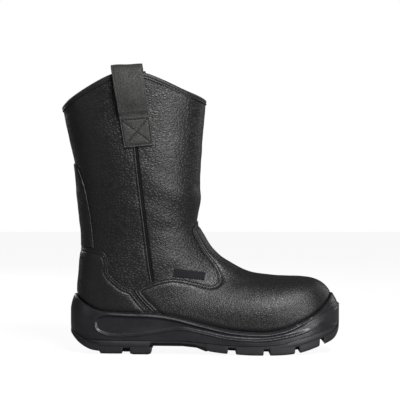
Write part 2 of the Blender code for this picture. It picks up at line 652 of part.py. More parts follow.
def add_sole():
    outline = smooth_loop(SOLE_OUTLINE, 2)
    join = smooth(SOLE_JOIN, 2)
    midsole = prism("midsole", outline, -10, 90, plane="xy", finish="polyurethane")
    combine(midsole, "INTERSECT", band("cut_midsole", join, smooth(RIM_TOP, 2)))
    for name, (centre, drops), low, high in (
        ("cut_bumper_arch", BUMPER_ARCH, 120, 180), ("cut_heel_arch", HEEL_ARCH, -180, -120)
    ):
        rise = [(centre - y, z) for y, z in reversed(drops)] + [(centre + y, z) for y, z in drops[1:]]
        above = [*smooth(rise, 2), (FAR, 100), (-FAR, 100)]
        combine(midsole, "DIFFERENCE", prism(name, above, low, high, plane="yz"))
    cavity = solid_last("cut_cavity", SOLE_CLEARANCE)
    combine(midsole, "DIFFERENCE", cavity)

    outsole = prism("outsole", inset_loop(outline, 0.6), -10, 60, plane="xy", finish="tread_rubber")
    combine(outsole, "INTERSECT", band("cut_outsole", TREAD, raised(join, -GAP)))
    combine(outsole, "DIFFERENCE", cavity)
    rear, front, rise = ARCH
    arch = [(rear, -20), (front + 3, -20), (front, rise), (rear, rise)]
    combine(outsole, "DIFFERENCE", prism("cut_arch", arch, -FAR, FAR))
    combine(outsole, "DIFFERENCE", *groove_cutters())


def groove_cutters():
    """Slots from each edge between the side lugs, and long slots beside the middle row."""
    cutters = []
    for i, (x, width) in enumerate(GROOVES):
        half = width / 2
        low, high = height(TREAD, x) - 20, height(TREAD, x) + GROOVE_DEPTH
        slot = [(x - half, low), (x + half, low), (x + half, high), (x - half, high)]
        cutters.append(prism(f"cut_outer_groove_{i}", slot, -FAR, -CENTRE_ROW))
        cutters.append(prism(f"cut_inner_groove_{i}", slot, CENTRE_ROW, FAR))
    for i, (start, end) in enumerate(LONG_GROOVES):
        path = [(x, height(TREAD, x)) for x in range(start, end + 1, 19)]
        run = [*raised(path, -20), *reversed(raised(path, GROOVE_DEPTH))]
        for side in (-1, 1):
            near, far = sorted((side * CENTRE_ROW, side * (CENTRE_ROW - LONG_GROOVE_WIDTH)))
            cutters.append(prism(f"cut_long_groove_{i}_{side + 1}", run, near, far))
    return cutters


def main():
    for obj in list(bpy.data.objects):
        bpy.data.objects.remove(obj)
    hole = lasting_hole("cut_margin", MARGIN)
    add_overlays(hole)
    add_shaft(hole)
    add_stiffening(hole)
    add_linings()
    add_trim()
    add_label()
    add_pull_loops()
    add_bottom()
    add_sole()


main()
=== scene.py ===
"""Looks of a pull-on safety boot: leather, seams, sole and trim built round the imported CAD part.

The boot stands on z = 0 with its toe along +X and its outer side along -Y. Lengths are in
millimetres until mesh_object() turns them into metres. The upper follows the same surface as the
CAD part, the last, on a finer grid: each piece is cut from it along its seam lines and given a
thickness that rounds its edges and sinks its rows of stitches.
"""

import math

import bpy
import numpy as np
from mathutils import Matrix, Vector
from mathutils.bvhtree import BVHTree


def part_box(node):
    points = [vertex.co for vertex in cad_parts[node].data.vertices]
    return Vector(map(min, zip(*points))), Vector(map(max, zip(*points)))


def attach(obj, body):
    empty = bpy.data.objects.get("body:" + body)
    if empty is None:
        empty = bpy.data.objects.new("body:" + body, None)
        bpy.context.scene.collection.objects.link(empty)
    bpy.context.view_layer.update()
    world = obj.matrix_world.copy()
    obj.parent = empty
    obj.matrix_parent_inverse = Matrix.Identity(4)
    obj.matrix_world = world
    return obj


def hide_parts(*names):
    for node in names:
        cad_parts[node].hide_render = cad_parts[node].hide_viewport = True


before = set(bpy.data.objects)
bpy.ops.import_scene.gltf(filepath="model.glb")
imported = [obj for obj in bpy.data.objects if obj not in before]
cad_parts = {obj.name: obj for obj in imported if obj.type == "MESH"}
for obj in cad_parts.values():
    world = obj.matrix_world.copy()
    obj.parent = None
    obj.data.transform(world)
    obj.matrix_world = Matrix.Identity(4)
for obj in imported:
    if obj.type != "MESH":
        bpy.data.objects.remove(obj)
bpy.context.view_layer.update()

MM = 0.001

# ---------------------------------------------------------------- the boot's shape

# The last: the ends of each section in the side view (x, z), their own y, the reach to the outer
# and the inner side, where along the section it is widest, and the powers of its rounding.
SECTIONS = np.array([
    (9.5, 325, -168.0, 325, 0.0, 48.5, 48.5, 0.52, 2.1, 2.1),
    (5.6, 285, -159.6, 285, 0.0, 49.5, 49.5, 0.52, 2.1, 2.1),
    (2.0, 245, -150.8, 245, 0.0, 50.5, 50.5, 0.52, 2.1, 2.1),
    (0.0, 210, -143.5, 210, 0.0, 50.5, 50.5, 0.51, 2.1, 2.1),
    (-1.0, 180, -140.2, 178, 0.0, 49.5, 49.5, 0.50, 2.1, 2.1),
    (-2.6, 156, -137.5, 150, 0.0, 47.0, 47.0, 0.50, 2.1, 2.1),
    (-2.4, 142, -135.4, 124, 0.5, 44.5, 44.0, 0.50, 2.0, 2.2),
    (3.5, 129, -137.4, 99, 1.0, 42.5, 41.5, 0.51, 2.0, 2.3),
    (11.0, 117, -139.4, 74, 1.5, 41.5, 40.0, 0.52, 2.0, 2.4),
    (21.0, 107.4, -139.3, 51, 2.0, 39.5, 37.5, 0.54, 2.0, 2.6),
    (32.0, 100.2, -130.0, 32.5, 2.5, 38.5, 36.0, 0.56, 2.0, 3.0),
    (44.0, 93.4, -105.0, 28.0, 3.0, 38.5, 35.0, 0.59, 2.0, 3.6),
    (56.7, 88.8, -66.0, 27.5, 3.5, 40.0, 36.0, 0.62, 2.0, 4.2),
    (70.0, 86.3, -22.0, 25.5, 4.0, 43.5, 39.5, 0.66, 2.0, 4.6),
    (84.3, 84.6, 22.0, 21.0, 4.5, 47.5, 44.5, 0.70, 2.1, 5.0),
    (99.0, 83.8, 62.0, 18.5, 5.0, 49.0, 48.5, 0.72, 2.2, 5.0),
    (113.0, 83.4, 95.0, 19.5, 5.5, 46.0, 48.5, 0.72, 2.3, 5.0),
    (126.0, 81.8, 118.5, 22.0, 6.0, 39.5, 45.0, 0.71, 2.4, 4.6),
    (135.6, 78.0, 134.0, 25.5, 6.5, 30.5, 38.5, 0.70, 2.4, 4.0),
    (142.4, 72.4, 142.4, 29.0, 7.0, 21.5, 31.0, 0.68, 2.3, 3.4),
    (147.0, 64.8, 147.0, 33.5, 7.0, 12.0, 23.0, 0.62, 2.2, 2.8),
    (149.5, 55.5, 149.3, 39.5, 7.0, 2.0, 14.5, 0.55, 2.1, 2.2),
])
TOE_POLE = np.array([149.9, 7.0, 47.0])

# Side-view lines (x, z).
TOPLINE = [
    (-170, 266), (-158, 276), (-145.5, 285.5), (-125, 297.5), (-106.5, 307.2), (-95, 311.3),
    (-79, 313.2), (-63, 311.3), (-54.7, 309), (-37, 301.8), (-19.8, 294.2), (-2.2, 287.6), (14, 281),
]
SIDE_SEAM = [
    (-78, 330), (-71.8, 231), (-65.5, 172.8), (-63.4, 155.8), (-59.8, 124.8), (-54.2, 84), (-46.5, 56),
    (-32.5, 34), (-14.5, 10),
]
VAMP_EDGE = [
    (12, 150.5), (-1.5, 150), (-6.5, 145.5), (-9.6, 138.2), (-7, 129), (-2.2, 120), (2.2, 112.4),
    (6.6, 106.8), (11, 101.2), (15.3, 95), (18.2, 88.3), (18.6, 82.4), (15.8, 78.6), (10.5, 77.2),
    (2.2, 78.6), (-12.2, 82.4), (-28.8, 85.4), (-39.9, 84.6), (-50.9, 82), (-59.8, 78.9), (-67.5, 75.6),
    (-74.2, 72.2), (-68.7, 63), (-62.6, 56.3), (-55.3, 49.2), (-45, 37.5), (-34, 22), (-26, 10),
]
HEEL_EDGE = [
    (-150, 121), (-137, 120.6), (-121, 118), (-110.5, 114.9), (-105, 109), (-103, 101.2), (-103.8, 94.9),
    (-102.6, 90.6), (-100, 86.9), (-96.3, 83.3), (-91.9, 79.7), (-87.4, 76.2), (-82, 73.7), (-76.6, 71.2),
    (-69.8, 62.1), (-63.7, 55.4), (-56.4, 48.3), (-46.1, 36.7), (-35.1, 21.2), (-27.2, 9),
]
STAY_EDGE = [
    (-141.5, 214), (-136.5, 203.5), (-133.3, 195), (-129.7, 183.7), (-125, 161), (-122.6, 144),
    (-120.9, 127), (-120, 118),
]
FLOOR = [
    (-160, 31), (-140, 29), (-105, 28), (-66, 27.5), (-22, 25.5), (22, 21), (62, 18.5), (95, 19.5),
    (118, 22.3), (134, 26), (150, 31), (165, 36),
]
RIM_TOP = [
    (-165, 30), (-148, 38), (-146.4, 50), (-145.2, 58.5), (-143.6, 64), (-141.4, 67.3), (-139, 65),
    (-136, 61.8), (-130, 57), (-123.5, 52.8), (-116, 49.6), (-107, 48), (-90, 47.2), (-73, 46.4),
    (-57, 46), (-40, 44.2), (-23, 41), (-7, 36.9), (10, 32.9), (27, 29.2), (43, 27), (60, 25.9),
    (76, 26.2), (93, 29.6), (110, 36.2), (121, 41.6), (132, 49.2), (139.5, 56.6), (144, 62),
    (146.6, 65.6), (148.2, 67.7), (150.8, 65), (155.8, 58.4), (158.4, 53), (165, 40),
]
SOLE_JOIN = [
    (-165, 33), (-148, 26.5), (-137, 20), (-122, 17), (-60, 16), (-22, 16), (0, 14.5), (30, 12), (62, 11),
    (90, 13.2), (105, 17.6), (120, 22), (138, 27.4), (149, 31.5), (165, 37),
]
TREAD = [
    (-165, 32), (-148, 20.5), (-142.7, 15.5), (-137.6, 11), (-131.6, 7.2), (-125, 4.4), (-118, 3.2),
    (-114, 2.6), (-112.5, 0.6), (-108, 0), (-50, 0), (0, 5.8), (10, 4), (26, 2), (43, 0.8), (60, 0),
    (80, 0), (98, 0.8), (112, 3), (124, 6.4), (135, 10), (144, 13.1), (149, 15.6), (154.3, 20.4),
    (158.5, 27.5), (165, 36),
]
BUMPER_ARCH = (7.0, [(0, 67.7), (10, 66.8), (19, 64.6), (28, 60.6), (38, 54), (46, 48.5), (56, 42)])
HEEL_ARCH = (0.0, [(0, 67.4), (10, 66.2), (19, 62.6), (28, 57), (38, 51.5), (60, 44)])
SOLE_OUTLINE = [
    (-148, 0), (-143.5, -19), (-128, -33), (-105, -39.5), (-70, -42), (-30, -45.5), (0, -50),
    (30, -54.5), (60, -56.5), (90, -55), (116, -49.5), (136, -39), (150, -24.5), (156.5, -8),
    (157.9, 7), (155.5, 21), (148.5, 35), (136, 46), (115, 53.5), (90, 56.8), (66, 56), (42, 51.5),
    (12, 46), (-20, 42), (-60, 40.5), (-95, 40), (-118, 36.5), (-137, 25),
]

# ---------------------------------------------------------------- curves


def catmull(points, position):
    """Reads a Catmull-Rom curve through points at positions from 0 to len - 1."""
    points = np.asarray(points, float)
    position = np.asarray(position, float)
    last = len(points) - 1
    i = np.clip(position.astype(int), 0, last - 1)
    t = (position - i)[..., None]
    p0, p1, p2, p3 = (points[np.clip(i + k, 0, last)] for k in (-1, 0, 1, 2))
    return 0.5 * (
        2 * p1 + (p2 - p0) * t + (2 * p0 - 5 * p1 + 4 * p2 - p3) * t**2
        + (3 * p1 - p0 - 3 * p2 + p3) * t**3
    )


def smooth(points, steps):
    return catmull(points, np.linspace(0, len(points) - 1, (len(points) - 1) * steps + 1))


def smooth_loop(points, steps):
    padded = [*points[-2:], *points, *points[:3]]
    return catmull(padded, 2 + np.arange(len(points) * steps) / steps)


def height(curve, x):
    """z at x on a side-view line whose points run along +X."""
    curve = np.asarray(curve, float)
    return np.interp(x, curve[:, 0], curve[:, 1])


def lengths(points):
    """Distance along a line of points, starting at 0."""
    steps = np.linalg.norm(np.diff(points, axis=0), axis=1)
    return np.concatenate([[0.0], np.cumsum(steps)])


def evenly(points, spacing, closed=False):
    """The same line with its points a constant distance apart."""
    line = np.asarray(points, float)
    if closed:
        line = np.vstack([line, line[:1]])
    along = lengths(line)
    count = max(int(round(along[-1] / spacing)), 2)
    wanted = np.linspace(0, along[-1], count + 1)
    if closed:
        wanted = wanted[:-1]
    return np.column_stack([np.interp(wanted, along, line[:, k]) for k in range(line.shape[1])])


def unit(vectors):
    return vectors / np.maximum(np.linalg.norm(vectors, axis=-1, keepdims=True), 1e-9)


def relax(values, times):
    """Evens out the values round a closed line."""
    for _ in range(times):
        values = (np.roll(values, 1, axis=0) + 2 * values + np.roll(values, -1, axis=0)) / 4
    return values


def heading(points):
    """The way a closed line runs at each of its points."""
    return unit(np.roll(points, -1, axis=0) - np.roll(points, 1, axis=0))


def ease(low, high, value):
    """0 below low, 1 above high, and smooth between."""
    t = np.clip((value - low) / (high - low), 0, 1)
    return t * t * (3 - 2 * t)


def bump(value, centre, half):
    """A round ridge of height 1 at centre that is 0 at half to each side."""
    t = np.clip(np.abs(value - centre) / half, 0, 1)
    return (1 - t * t) ** 2


WAVES = 14
WAVE_SUM = 5.0  # the sum of so many waves seldom goes beyond this


def ripple(points, scale, seed):
    """Gentle waves of about that length, roughly between -1 and 1, the same on every run."""
    random = np.random.default_rng(seed)
    total = np.zeros(len(points))
    for _ in range(WAVES):
        direction = unit(random.normal(size=3))
        phase = random.uniform(0, 2 * math.pi)
        length = scale * random.uniform(0.7, 1.5)
        total += np.sin(points @ direction * (2 * math.pi / length) + phase)
    return total / WAVE_SUM


# ---------------------------------------------------------------- making meshes


def new_object(name, data):
    """An object of that mesh, lamp or camera, linked to the scene."""
    made = bpy.data.objects.new(name, data)
    bpy.context.scene.collection.objects.link(made)
    return made


def mesh_object(name, points, faces, look, body="boot", sharp=42.0):
    """An object of points in millimetres and triangles or quads, riding on a CAD body."""
    mesh = bpy.data.meshes.new(name)
    if isinstance(faces, np.ndarray):
        faces = faces.tolist()
    mesh.from_pydata((np.asarray(points, float) * MM).tolist(), [], faces)
    mesh.validate()
    mesh.update()
    mesh.materials.append(MATERIALS[look])
    mesh.shade_smooth()
    mesh.set_sharp_from_angle(angle=math.radians(sharp))
    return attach(new_object(name, mesh), body)


def stands_for(piece, node):
    """The piece is seen in place of a CAD node."""
    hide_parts(node)


def grid_faces(rows, columns, wrap_rows=False, wrap_columns=False):
    """Quads over a grid of points numbered row by row."""
    i = np.arange(rows if wrap_rows else rows - 1)[:, None]
    j = np.arange(columns if wrap_columns else columns - 1)[None, :]
    down, right = (i + 1) % rows, (j + 1) % columns
    quads = np.stack(np.broadcast_arrays(
        i * columns + j, down * columns + j, down * columns + right, i * columns + right
    ), axis=-1)
    return quads.reshape(-1, 4)


def loft(name, rings, look, body="boot", sharp=42.0):
    """A closed body of rings (rows of points), with its two ends filled."""
    rings = np.asarray(rings, float)
    rows, columns = rings.shape[:2]
    faces = grid_faces(rows, columns, wrap_columns=True).tolist()
    points = rings.reshape(-1, 3)
    for start, turn in ((0, 1), ((rows - 1) * columns, -1)):
        tip = len(points)
        points = np.vstack([points, points[start:start + columns].mean(axis=0)])
        for j in range(columns):
            a, b = start + j, start + (j + 1) % columns
            faces.append((tip, a, b) if turn > 0 else (tip, b, a))
    return face_out(mesh_object(name, points, faces, look, body, sharp))


def face_out(obj):
    """Turns a closed mesh's faces outwards if its volume says they point in."""
    mesh = obj.data
    mesh.calc_loop_triangles()
    points = np.empty(len(mesh.vertices) * 3)
    mesh.vertices.foreach_get("co", points)
    triangles = np.empty(len(mesh.loop_triangles) * 3, np.int64)
    mesh.loop_triangles.foreach_get("vertices", triangles)
    if np.linalg.det(points.reshape(-1, 3)[triangles.reshape(-1, 3)]).sum() < 0:
        mesh.flip_normals()
    return obj


SNAP = 0.02  # a point this near a cut counts as on it


class Sheet:
    """Triangles with values at their points. "place" is where a point is, "out" its normal."""

    def __init__(self, values, faces):
        self.values = values
        self.faces = faces

    def copy(self):
        return Sheet(dict(self.values), self.faces)

    def split(self, field, level):
        """Cuts the triangles that the line field = level crosses, so that points lie on it."""
        faces = self.faces
        value = self.values[field] - level
        value = np.where(np.abs(value) < SNAP, 0.0, value)
        ends = np.stack([faces, np.roll(faces, -1, axis=1)], axis=-1)
        crossed = value[ends[..., 0]] * value[ends[..., 1]] < 0
        pairs = np.sort(ends[crossed], axis=1)
        edges, number = np.unique(pairs, axis=0, return_inverse=True)
        share = value[edges[:, 0]] / (value[edges[:, 0]] - value[edges[:, 1]])
        first = len(value)
        for key, data in self.values.items():
            t = share[:, None] if data.ndim == 2 else share
            added = data[edges[:, 0]] * (1 - t) + data[edges[:, 1]] * t
            self.values[key] = np.concatenate([data, added])
        new = np.full(faces.shape, -1)
        new[crossed] = first + number.reshape(-1)
        count = crossed.sum(axis=1)
        kept = [faces[count == 0]]
        for k in range(3):
            a, b, c = faces[:, k], faces[:, (k + 1) % 3], faces[:, (k + 2) % 3]
            m, q = new[:, k], new[:, (k + 2) % 3]
            two = (count == 2) & crossed[:, k] & crossed[:, (k + 2) % 3]
            kept += [np.column_stack(t)[two] for t in ((a, m, q), (m, b, c), (m, c, q))]
            one = (count == 1) & crossed[:, k]
            kept += [np.column_stack(t)[one] for t in ((a, m, c), (m, b, c))]
        self.faces = np.concatenate(kept)
        return self

    def keep(self, field, level=0.0):
        """Keeps what lies where field is above level, with its edge exactly on that line."""
        self.split(field, level)
        middle = self.values[field][self.faces].mean(axis=1)
        self.faces = self.faces[middle > level]
        used, index = np.unique(self.faces, return_inverse=True)
        self.faces = index.reshape(-1, 3)
        self.values = {key: data[used] for key, data in self.values.items()}
        return self

    def keep_outside(self, field, level=0.0):
        """Keeps what lies on the other side of field's line, more than level away from it."""
        self.values["outside"] = -self.values[field]
        return self.keep("outside", level)

    def contours(self, field, level):
        """The lines where field = level, as (place, out) arrays with their points in order."""
        faces = self.faces
        value = self.values[field] - level
        value = np.where(value == 0, 1e-6, value)
        ends = np.stack([faces, np.roll(faces, -1, axis=1)], axis=-1)
        crossed = value[ends[..., 0]] * value[ends[..., 1]] < 0
        hit = crossed.sum(axis=1) == 2
        pairs = np.sort(ends[hit][crossed[hit]], axis=1)
        edges, number = np.unique(pairs, axis=0, return_inverse=True)
        share = (value[edges[:, 0]] / (value[edges[:, 0]] - value[edges[:, 1]]))[:, None]
        place, out = (
            self.values[key][edges[:, 0]] * (1 - share) + self.values[key][edges[:, 1]] * share
            for key in ("place", "out")
        )
        links = {}
        for a, b in number.reshape(-1, 2).tolist():
            links.setdefault(a, []).append(b)
            links.setdefault(b, []).append(a)
        lines = []
        left = set(links)
        while left:
            start = min((n for n in left if len(links[n]) == 1), default=min(left))
            chain = [start]
            left.discard(start)
            while True:
                ahead = [n for n in links[chain[-1]] if n in left]
                if not ahead:
                    break
                chain.append(ahead[0])
                left.discard(ahead[0])
            if len(chain) > 2:
                closed = len(links[chain[0]]) == 2
                chain += chain[:1] if closed else []
                lines.append((place[chain], out[chain]))
        return lines


def shell(name, sheet, outer, inner, look):
    """A closed skin of a sheet between two offsets, each a number or a value per point."""
    place, out, faces = sheet.values["place"], sheet.values["out"], sheet.faces
    count = len(place)
    top = place + out * np.broadcast_to(outer, count)[:, None]
    bottom = place + out * np.broadcast_to(inner, count)[:, None]
    ends = np.stack([faces, np.roll(faces, -1, axis=1)], axis=-1).reshape(-1, 2)
    key = np.sort(ends, axis=1)
    _, first, times = np.unique(key, axis=0, return_index=True, return_counts=True)
    rim = ends[first[times == 1]]
    walls = np.column_stack([rim[:, 1], rim[:, 0], rim[:, 0] + count, rim[:, 1] + count])
    every = faces.tolist() + (faces[:, ::-1] + count).tolist() + walls.tolist()
    return mesh_object(name, np.vstack([top, bottom]), every, look)


# ---------------------------------------------------------------- pull loop sizes

LOOP_THICKNESS = 1.8
FOOT_Z, SEWN_Z, CROWN_Z = 232.0, 260.0, 322.2
LOOP_X, LOOP_LEAN = -69.0, -0.152
LOOP_WIDTHS = (31.8, 35.2)  # at its foot and at its crown
LOOP_SLANTS = (0.1, 0.055)  # its rise per millimetre towards the front, at its foot and at its crown
BOX_LOW, BOX_HIGH = FOOT_Z + 1.9, SEWN_Z + 1.6  # the sewn square
BOX_INSET = 1.5
BOX_SPREAD = 0.018  # the square widens upwards with the strap

# ---------------------------------------------------------------- the last as a fine grid

GRID = 1.9  # distance between points
GIRTH = 345  # between the forefoot's and the shaft's way round; it sets the points in a ring
TOE_RINGS = 4  # extra rings that close the toe


def last_point(station, turn):
    """Points of the last. turn runs 0 to 4 quarters: 0 front or top, 1 outer, 2 back, 3 inner."""
    section = np.moveaxis(catmull(SECTIONS, station), -1, 0)
    fx, fz, bx, bz, ridge, outer, inner, widest, front, back = section
    c, s = np.cos(turn * math.pi / 2), np.sin(turn * math.pi / 2)
    power = np.where(c > 0, front, back)
    radius = (np.abs(c) ** power + np.abs(s) ** power) ** (-1 / power)
    reach, aside = np.abs(c) * radius, np.abs(s) * radius
    along = np.where(c > 0, widest * (1 - reach), widest + (1 - widest) * reach)
    side = np.where(s > 0, -(outer + ridge), inner - ridge)
    return np.stack([fx + along * (bx - fx), ridge + side * aside, fz + along * (bz - fz)], axis=-1)


def sag(points):
    """How far the worn-in leather stands off the last: soft folds at the ankle and slow waves."""
    x, _, z = points.T
    front = ease(-95, -10, x)
    fold = bump(z + 0.45 * x, 172, 16) * front * 1.3 - bump(z + 0.45 * x, 146, 15) * front * 1.5
    fold -= bump(z + 0.30 * x, 108, 12) * ease(-60, 0, x) * ease(10, -40, x) * 0.5
    instep = -bump(z + 0.95 * x, 148, 16) * ease(10, 30, x) * ease(70, 45, x) * ease(60, 80, z) * 0.7
    waves = ripple(points * (1, 1, 1.6), 46, 3) * 0.35 + ripple(points * (1, 1, 1.8), 19, 5) * 0.12
    stiff = 1 - ease(70, 110, x) * 0.85
    above = ease(50, 80, z)
    return (fold + instep + waves * above) * stiff


def make_last():
    """The last as a sheet of triangles, its points GRID apart."""
    dense = np.linspace(0, len(SECTIONS) - 1, 900)
    probes = np.arange(0, 4, 0.5)
    lines = last_point(dense[:, None], probes[None, :])
    moved = np.linalg.norm(np.diff(lines, axis=0), axis=2).max(axis=1)
    travel = np.concatenate([[0], np.cumsum(moved)])
    stations = np.interp(np.linspace(0, travel[-1], int(travel[-1] / GRID)), travel, dense)
    columns = int(GIRTH / GRID)
    turns = np.linspace(0, 4, 1441)
    rings = []
    for station in stations:
        along = lengths(last_point(np.full(len(turns), station), turns))
        rings.append(np.interp(np.arange(columns) / columns * along[-1], along, turns))
    place = last_point(stations[:, None], np.array(rings))
    share = np.linspace(0, 1, TOE_RINGS + 2)[1:-1, None, None]
    place = np.concatenate([place, place[-1][None] * (1 - share) + TOE_POLE * share])
    rows = len(place)
    points = place.reshape(-1, 3)
    points = points + grid_normals(place).reshape(-1, 3) * sag(points)[:, None]
    normal = grid_normals(points.reshape(rows, columns, 3)).reshape(-1, 3)
    quads = grid_faces(rows, columns, wrap_columns=True)
    pole = len(points)
    j = np.arange(columns)
    base = (rows - 1) * columns
    tip = np.column_stack([base + j, np.full(columns, pole), base + (j + 1) % columns])
    faces = np.concatenate([quads[:, [0, 1, 2]], quads[:, [0, 2, 3]], tip])
    return Sheet({"place": np.vstack([points, TOE_POLE]), "out": np.vstack([normal, [1, 0, 0]])}, faces)


def grid_normals(place):
    around = np.roll(place, -1, axis=1) - np.roll(place, 1, axis=1)
    along = np.gradient(place, axis=0)
    return unit(np.cross(around, along))


def line_distance(points, line):
    """Side-view distance of points to a line, and the direction from the line to each point."""
    flat = points[:, [0, 2]]
    best = np.full(len(flat), 1e9)
    away = np.zeros((len(flat), 2))
    line = np.asarray(line, float)
    for a, b in zip(line, line[1:]):
        run = b - a
        t = np.clip(((flat - a) @ run) / (run @ run), 0, 1)
        gap = flat - (a + t[:, None] * run)
        distance = np.hypot(gap[:, 0], gap[:, 1])
        nearer = distance < best
        best[nearer] = distance[nearer]
        away[nearer] = gap[nearer]
    return best, unit(away)


def inside(points, outline):
    """Whether side-view points lie within a closed outline."""
    x, z = points[:, 0], points[:, 2]
    within = np.zeros(len(points), bool)
    outline = np.asarray(outline, float)
    for (x0, z0), (x1, z1) in zip(outline, np.roll(outline, -1, axis=0)):
        if z0 == z1:
            continue
        between = (z0 > z) != (z1 > z)
        within ^= between & (x < x0 + (z - z0) * (x1 - x0) / (z1 - z0))
    return within


def add_field(sheet, name, edge, closing):
    """How far each point lies inside a seam line, measured along the leather."""
    points, out = sheet.values["place"], sheet.values["out"]
    distance, away = line_distance(points, edge)
    slope = (out[:, [0, 2]] * away).sum(axis=1)
    along = distance / np.sqrt(np.clip(1 - slope**2, 0.12, 1))
    sheet.values[name] = np.where(inside(points, [*map(tuple, edge), *closing]), along, -along)


# ---------------------------------------------------------------- materials


class Finish:
    """A material's nodes, with short calls for the ones used here."""

    def __init__(self, name, roughness, specular=0.5, metallic=0.0):
        self.material = bpy.data.materials.new(name)
        self.material.use_nodes = True
        self.tree = self.material.node_tree
        self.shader = self.tree.nodes["Principled BSDF"]
        self.shader.inputs["Roughness"].default_value = roughness
        self.shader.inputs["Specular IOR Level"].default_value = specular
        self.shader.inputs["Metallic"].default_value = metallic
        self.place = self.tree.nodes.new("ShaderNodeTexCoord").outputs["Object"]

    def node(self, kind, settings=None, **inputs):
        """A node with its inputs set or linked: _0 is the first, From_Min the one called "From Min"."""
        made = self.tree.nodes.new("ShaderNode" + kind)
        for key, value in (settings or {}).items():
            setattr(made, key, value)
        for key, value in inputs.items():
            socket = made.inputs[int(key[1:]) if key[0] == "_" else key.replace("_", " ")]
            if isinstance(value, bpy.types.NodeSocket):
                self.tree.links.new(value, socket)
            else:
                socket.default_value = value
        return made

    def vector(self, operation, first, **inputs):
        return self.node("VectorMath", {"operation": operation}, _0=first, **inputs).outputs[0]

    def scaled(self, x, y, z):
        return self.vector("MULTIPLY", self.place, _1=(x, y, z))

    def bent(self, vector, amount, scale):
        """The same coordinates pushed about by noise, so that a pattern isn't regular."""
        noise = self.node("TexNoise", Vector=vector, Scale=scale, Detail=2.0).outputs["Color"]
        centred = self.vector("SUBTRACT", noise, _1=(0.5, 0.5, 0.5))
        return self.vector("ADD", vector, _1=self.vector("SCALE", centred, Scale=amount))

    def noise(self, vector, scale, detail=3.0, rough=0.5):
        made = self.node("TexNoise", Vector=vector, Scale=scale, Detail=detail, Roughness=rough)
        return made.outputs["Fac"]

    def cells(self, vector, scale, feature="DISTANCE_TO_EDGE"):
        made = self.node("TexVoronoi", {"feature": feature}, Vector=vector, Scale=scale)
        return made.outputs["Distance"]

    def wave(self, vector, scale, direction):
        settings = {"bands_direction": direction, "wave_profile": "SIN"}
        return self.node("TexWave", settings, Vector=vector, Scale=scale, Distortion=0.0).outputs["Fac"]

    def math(self, operation, a, b):
        return self.node("Math", {"operation": operation}, _0=a, _1=b).outputs[0]

    def mix(self, a, a_part, b, b_part):
        """The sum of two values, each times its part."""
        return self.math("ADD", self.math("MULTIPLY", a, a_part), self.math("MULTIPLY", b, b_part))

    def range(self, value, low, high, new_low=0.0, new_high=1.0):
        return self.node(
            "MapRange", {"interpolation_type": "SMOOTHSTEP"},
            Value=value, From_Min=low, From_Max=high, To_Min=new_low, To_Max=new_high,
        ).outputs[0]

    def colours(self, factor, *stops):
        """A colour that varies with factor, from stops of (position, colour)."""
        ramp = self.node("ValToRGB", Fac=factor)
        elements = ramp.color_ramp.elements
        while len(elements) < len(stops):
            elements.new(0.5)
        for element, (position, colour) in zip(elements, stops):
            element.position = position
            element.color = (*colour, 1)
        self.tree.links.new(ramp.outputs["Color"], self.shader.inputs["Base Color"])

    def shine(self, factor, low, high):
        """Roughness that varies with factor."""
        self.tree.links.new(self.range(factor, 0.2, 0.8, low, high), self.shader.inputs["Roughness"])

    def relief(self, *layers):
        """Bumps, each a (height, millimetres), one on top of the other."""
        normal = None
        for value, depth in layers:
            inputs = {"Height": value, "Distance": depth * MM, "Strength": 1.0}
            if normal is not None:
                inputs["Normal"] = normal
            normal = self.node("Bump", **inputs).outputs[0]
        self.tree.links.new(normal, self.shader.inputs["Normal"])


def leather(name, dark, light, cell, depth, roughness, specular=0.5):
    """Pigmented leather: raised pebbles parted by fine creases, pores, and slightly worn crowns."""
    made = Finish(name, roughness, specular)
    flat = made.bent(made.scaled(1, 1, 1.35), cell * 0.0006, 420 / cell)
    pebbles = made.range(made.cells(flat, 1000 / cell), 0.0, 0.36)
    fine = made.range(made.cells(flat, 2300 / cell), 0.0, 0.35)
    wrinkles = made.noise(made.scaled(0.8, 0.8, 2.2), 230, 5.0, 0.62)
    pores = made.noise(made.place, 2600, 2.0)
    patches = made.noise(made.place, 22, 4.0)
    made.colours(made.mix(pebbles, 0.45, patches, 0.55), (0.25, dark), (0.75, light))
    made.shine(made.mix(pebbles, -0.55, patches, 1.2), roughness + 0.05, roughness - 0.05)
    made.relief((wrinkles, depth * 0.2), (pebbles, depth), (fine, depth * 0.1), (pores, depth * 0.03))
    return made.material


def moulded(name, dark, light, roughness, grain, depth):
    """Moulded polyurethane or rubber: a fine spark-eroded texture with faint flow marks."""
    made = Finish(name, roughness)
    fine = made.noise(made.place, grain, 3.0, 0.6)
    flow = made.noise(made.scaled(1, 1, 3), 30, 4.0)
    scuffs = made.range(made.noise(made.scaled(2.5, 2.5, 1), 120, 6.0, 0.7), 0.52, 0.75)
    tone = made.math("ADD", flow, made.math("MULTIPLY", scuffs, 0.15))
    gloss = made.math("ADD", flow, made.math("MULTIPLY", scuffs, 0.5))
    made.colours(tone, (0.3, dark), (0.75, light))
    made.shine(gloss, roughness - 0.06, roughness + 0.10)
    made.relief((flow, depth * 2.0), (fine, depth), (scuffs, depth * 0.5))
    return made.material


def woven(name, dark, light, pitch, depth, roughness=0.88, sheen=0.3):
    """A plain weave of that thread pitch in millimetres."""
    made = Finish(name, roughness, 0.3)
    flat = made.bent(made.place, 0.00012 * pitch, 300)
    rate = 1000 / pitch / math.pi
    warp, weft, third = (made.wave(flat, rate, axis) for axis in "XZY")
    cloth = made.mix(warp, weft, third, 0.5)
    fuzz = made.noise(made.place, 1800, 3.0)
    patches = made.noise(made.place, 18, 3.0)
    made.colours(made.mix(cloth, 0.5, patches, 0.5), (0.2, dark), (0.8, light))
    made.relief((cloth, depth), (fuzz, depth * 0.4))
    made.shader.inputs["Sheen Weight"].default_value = sheen
    return made.material


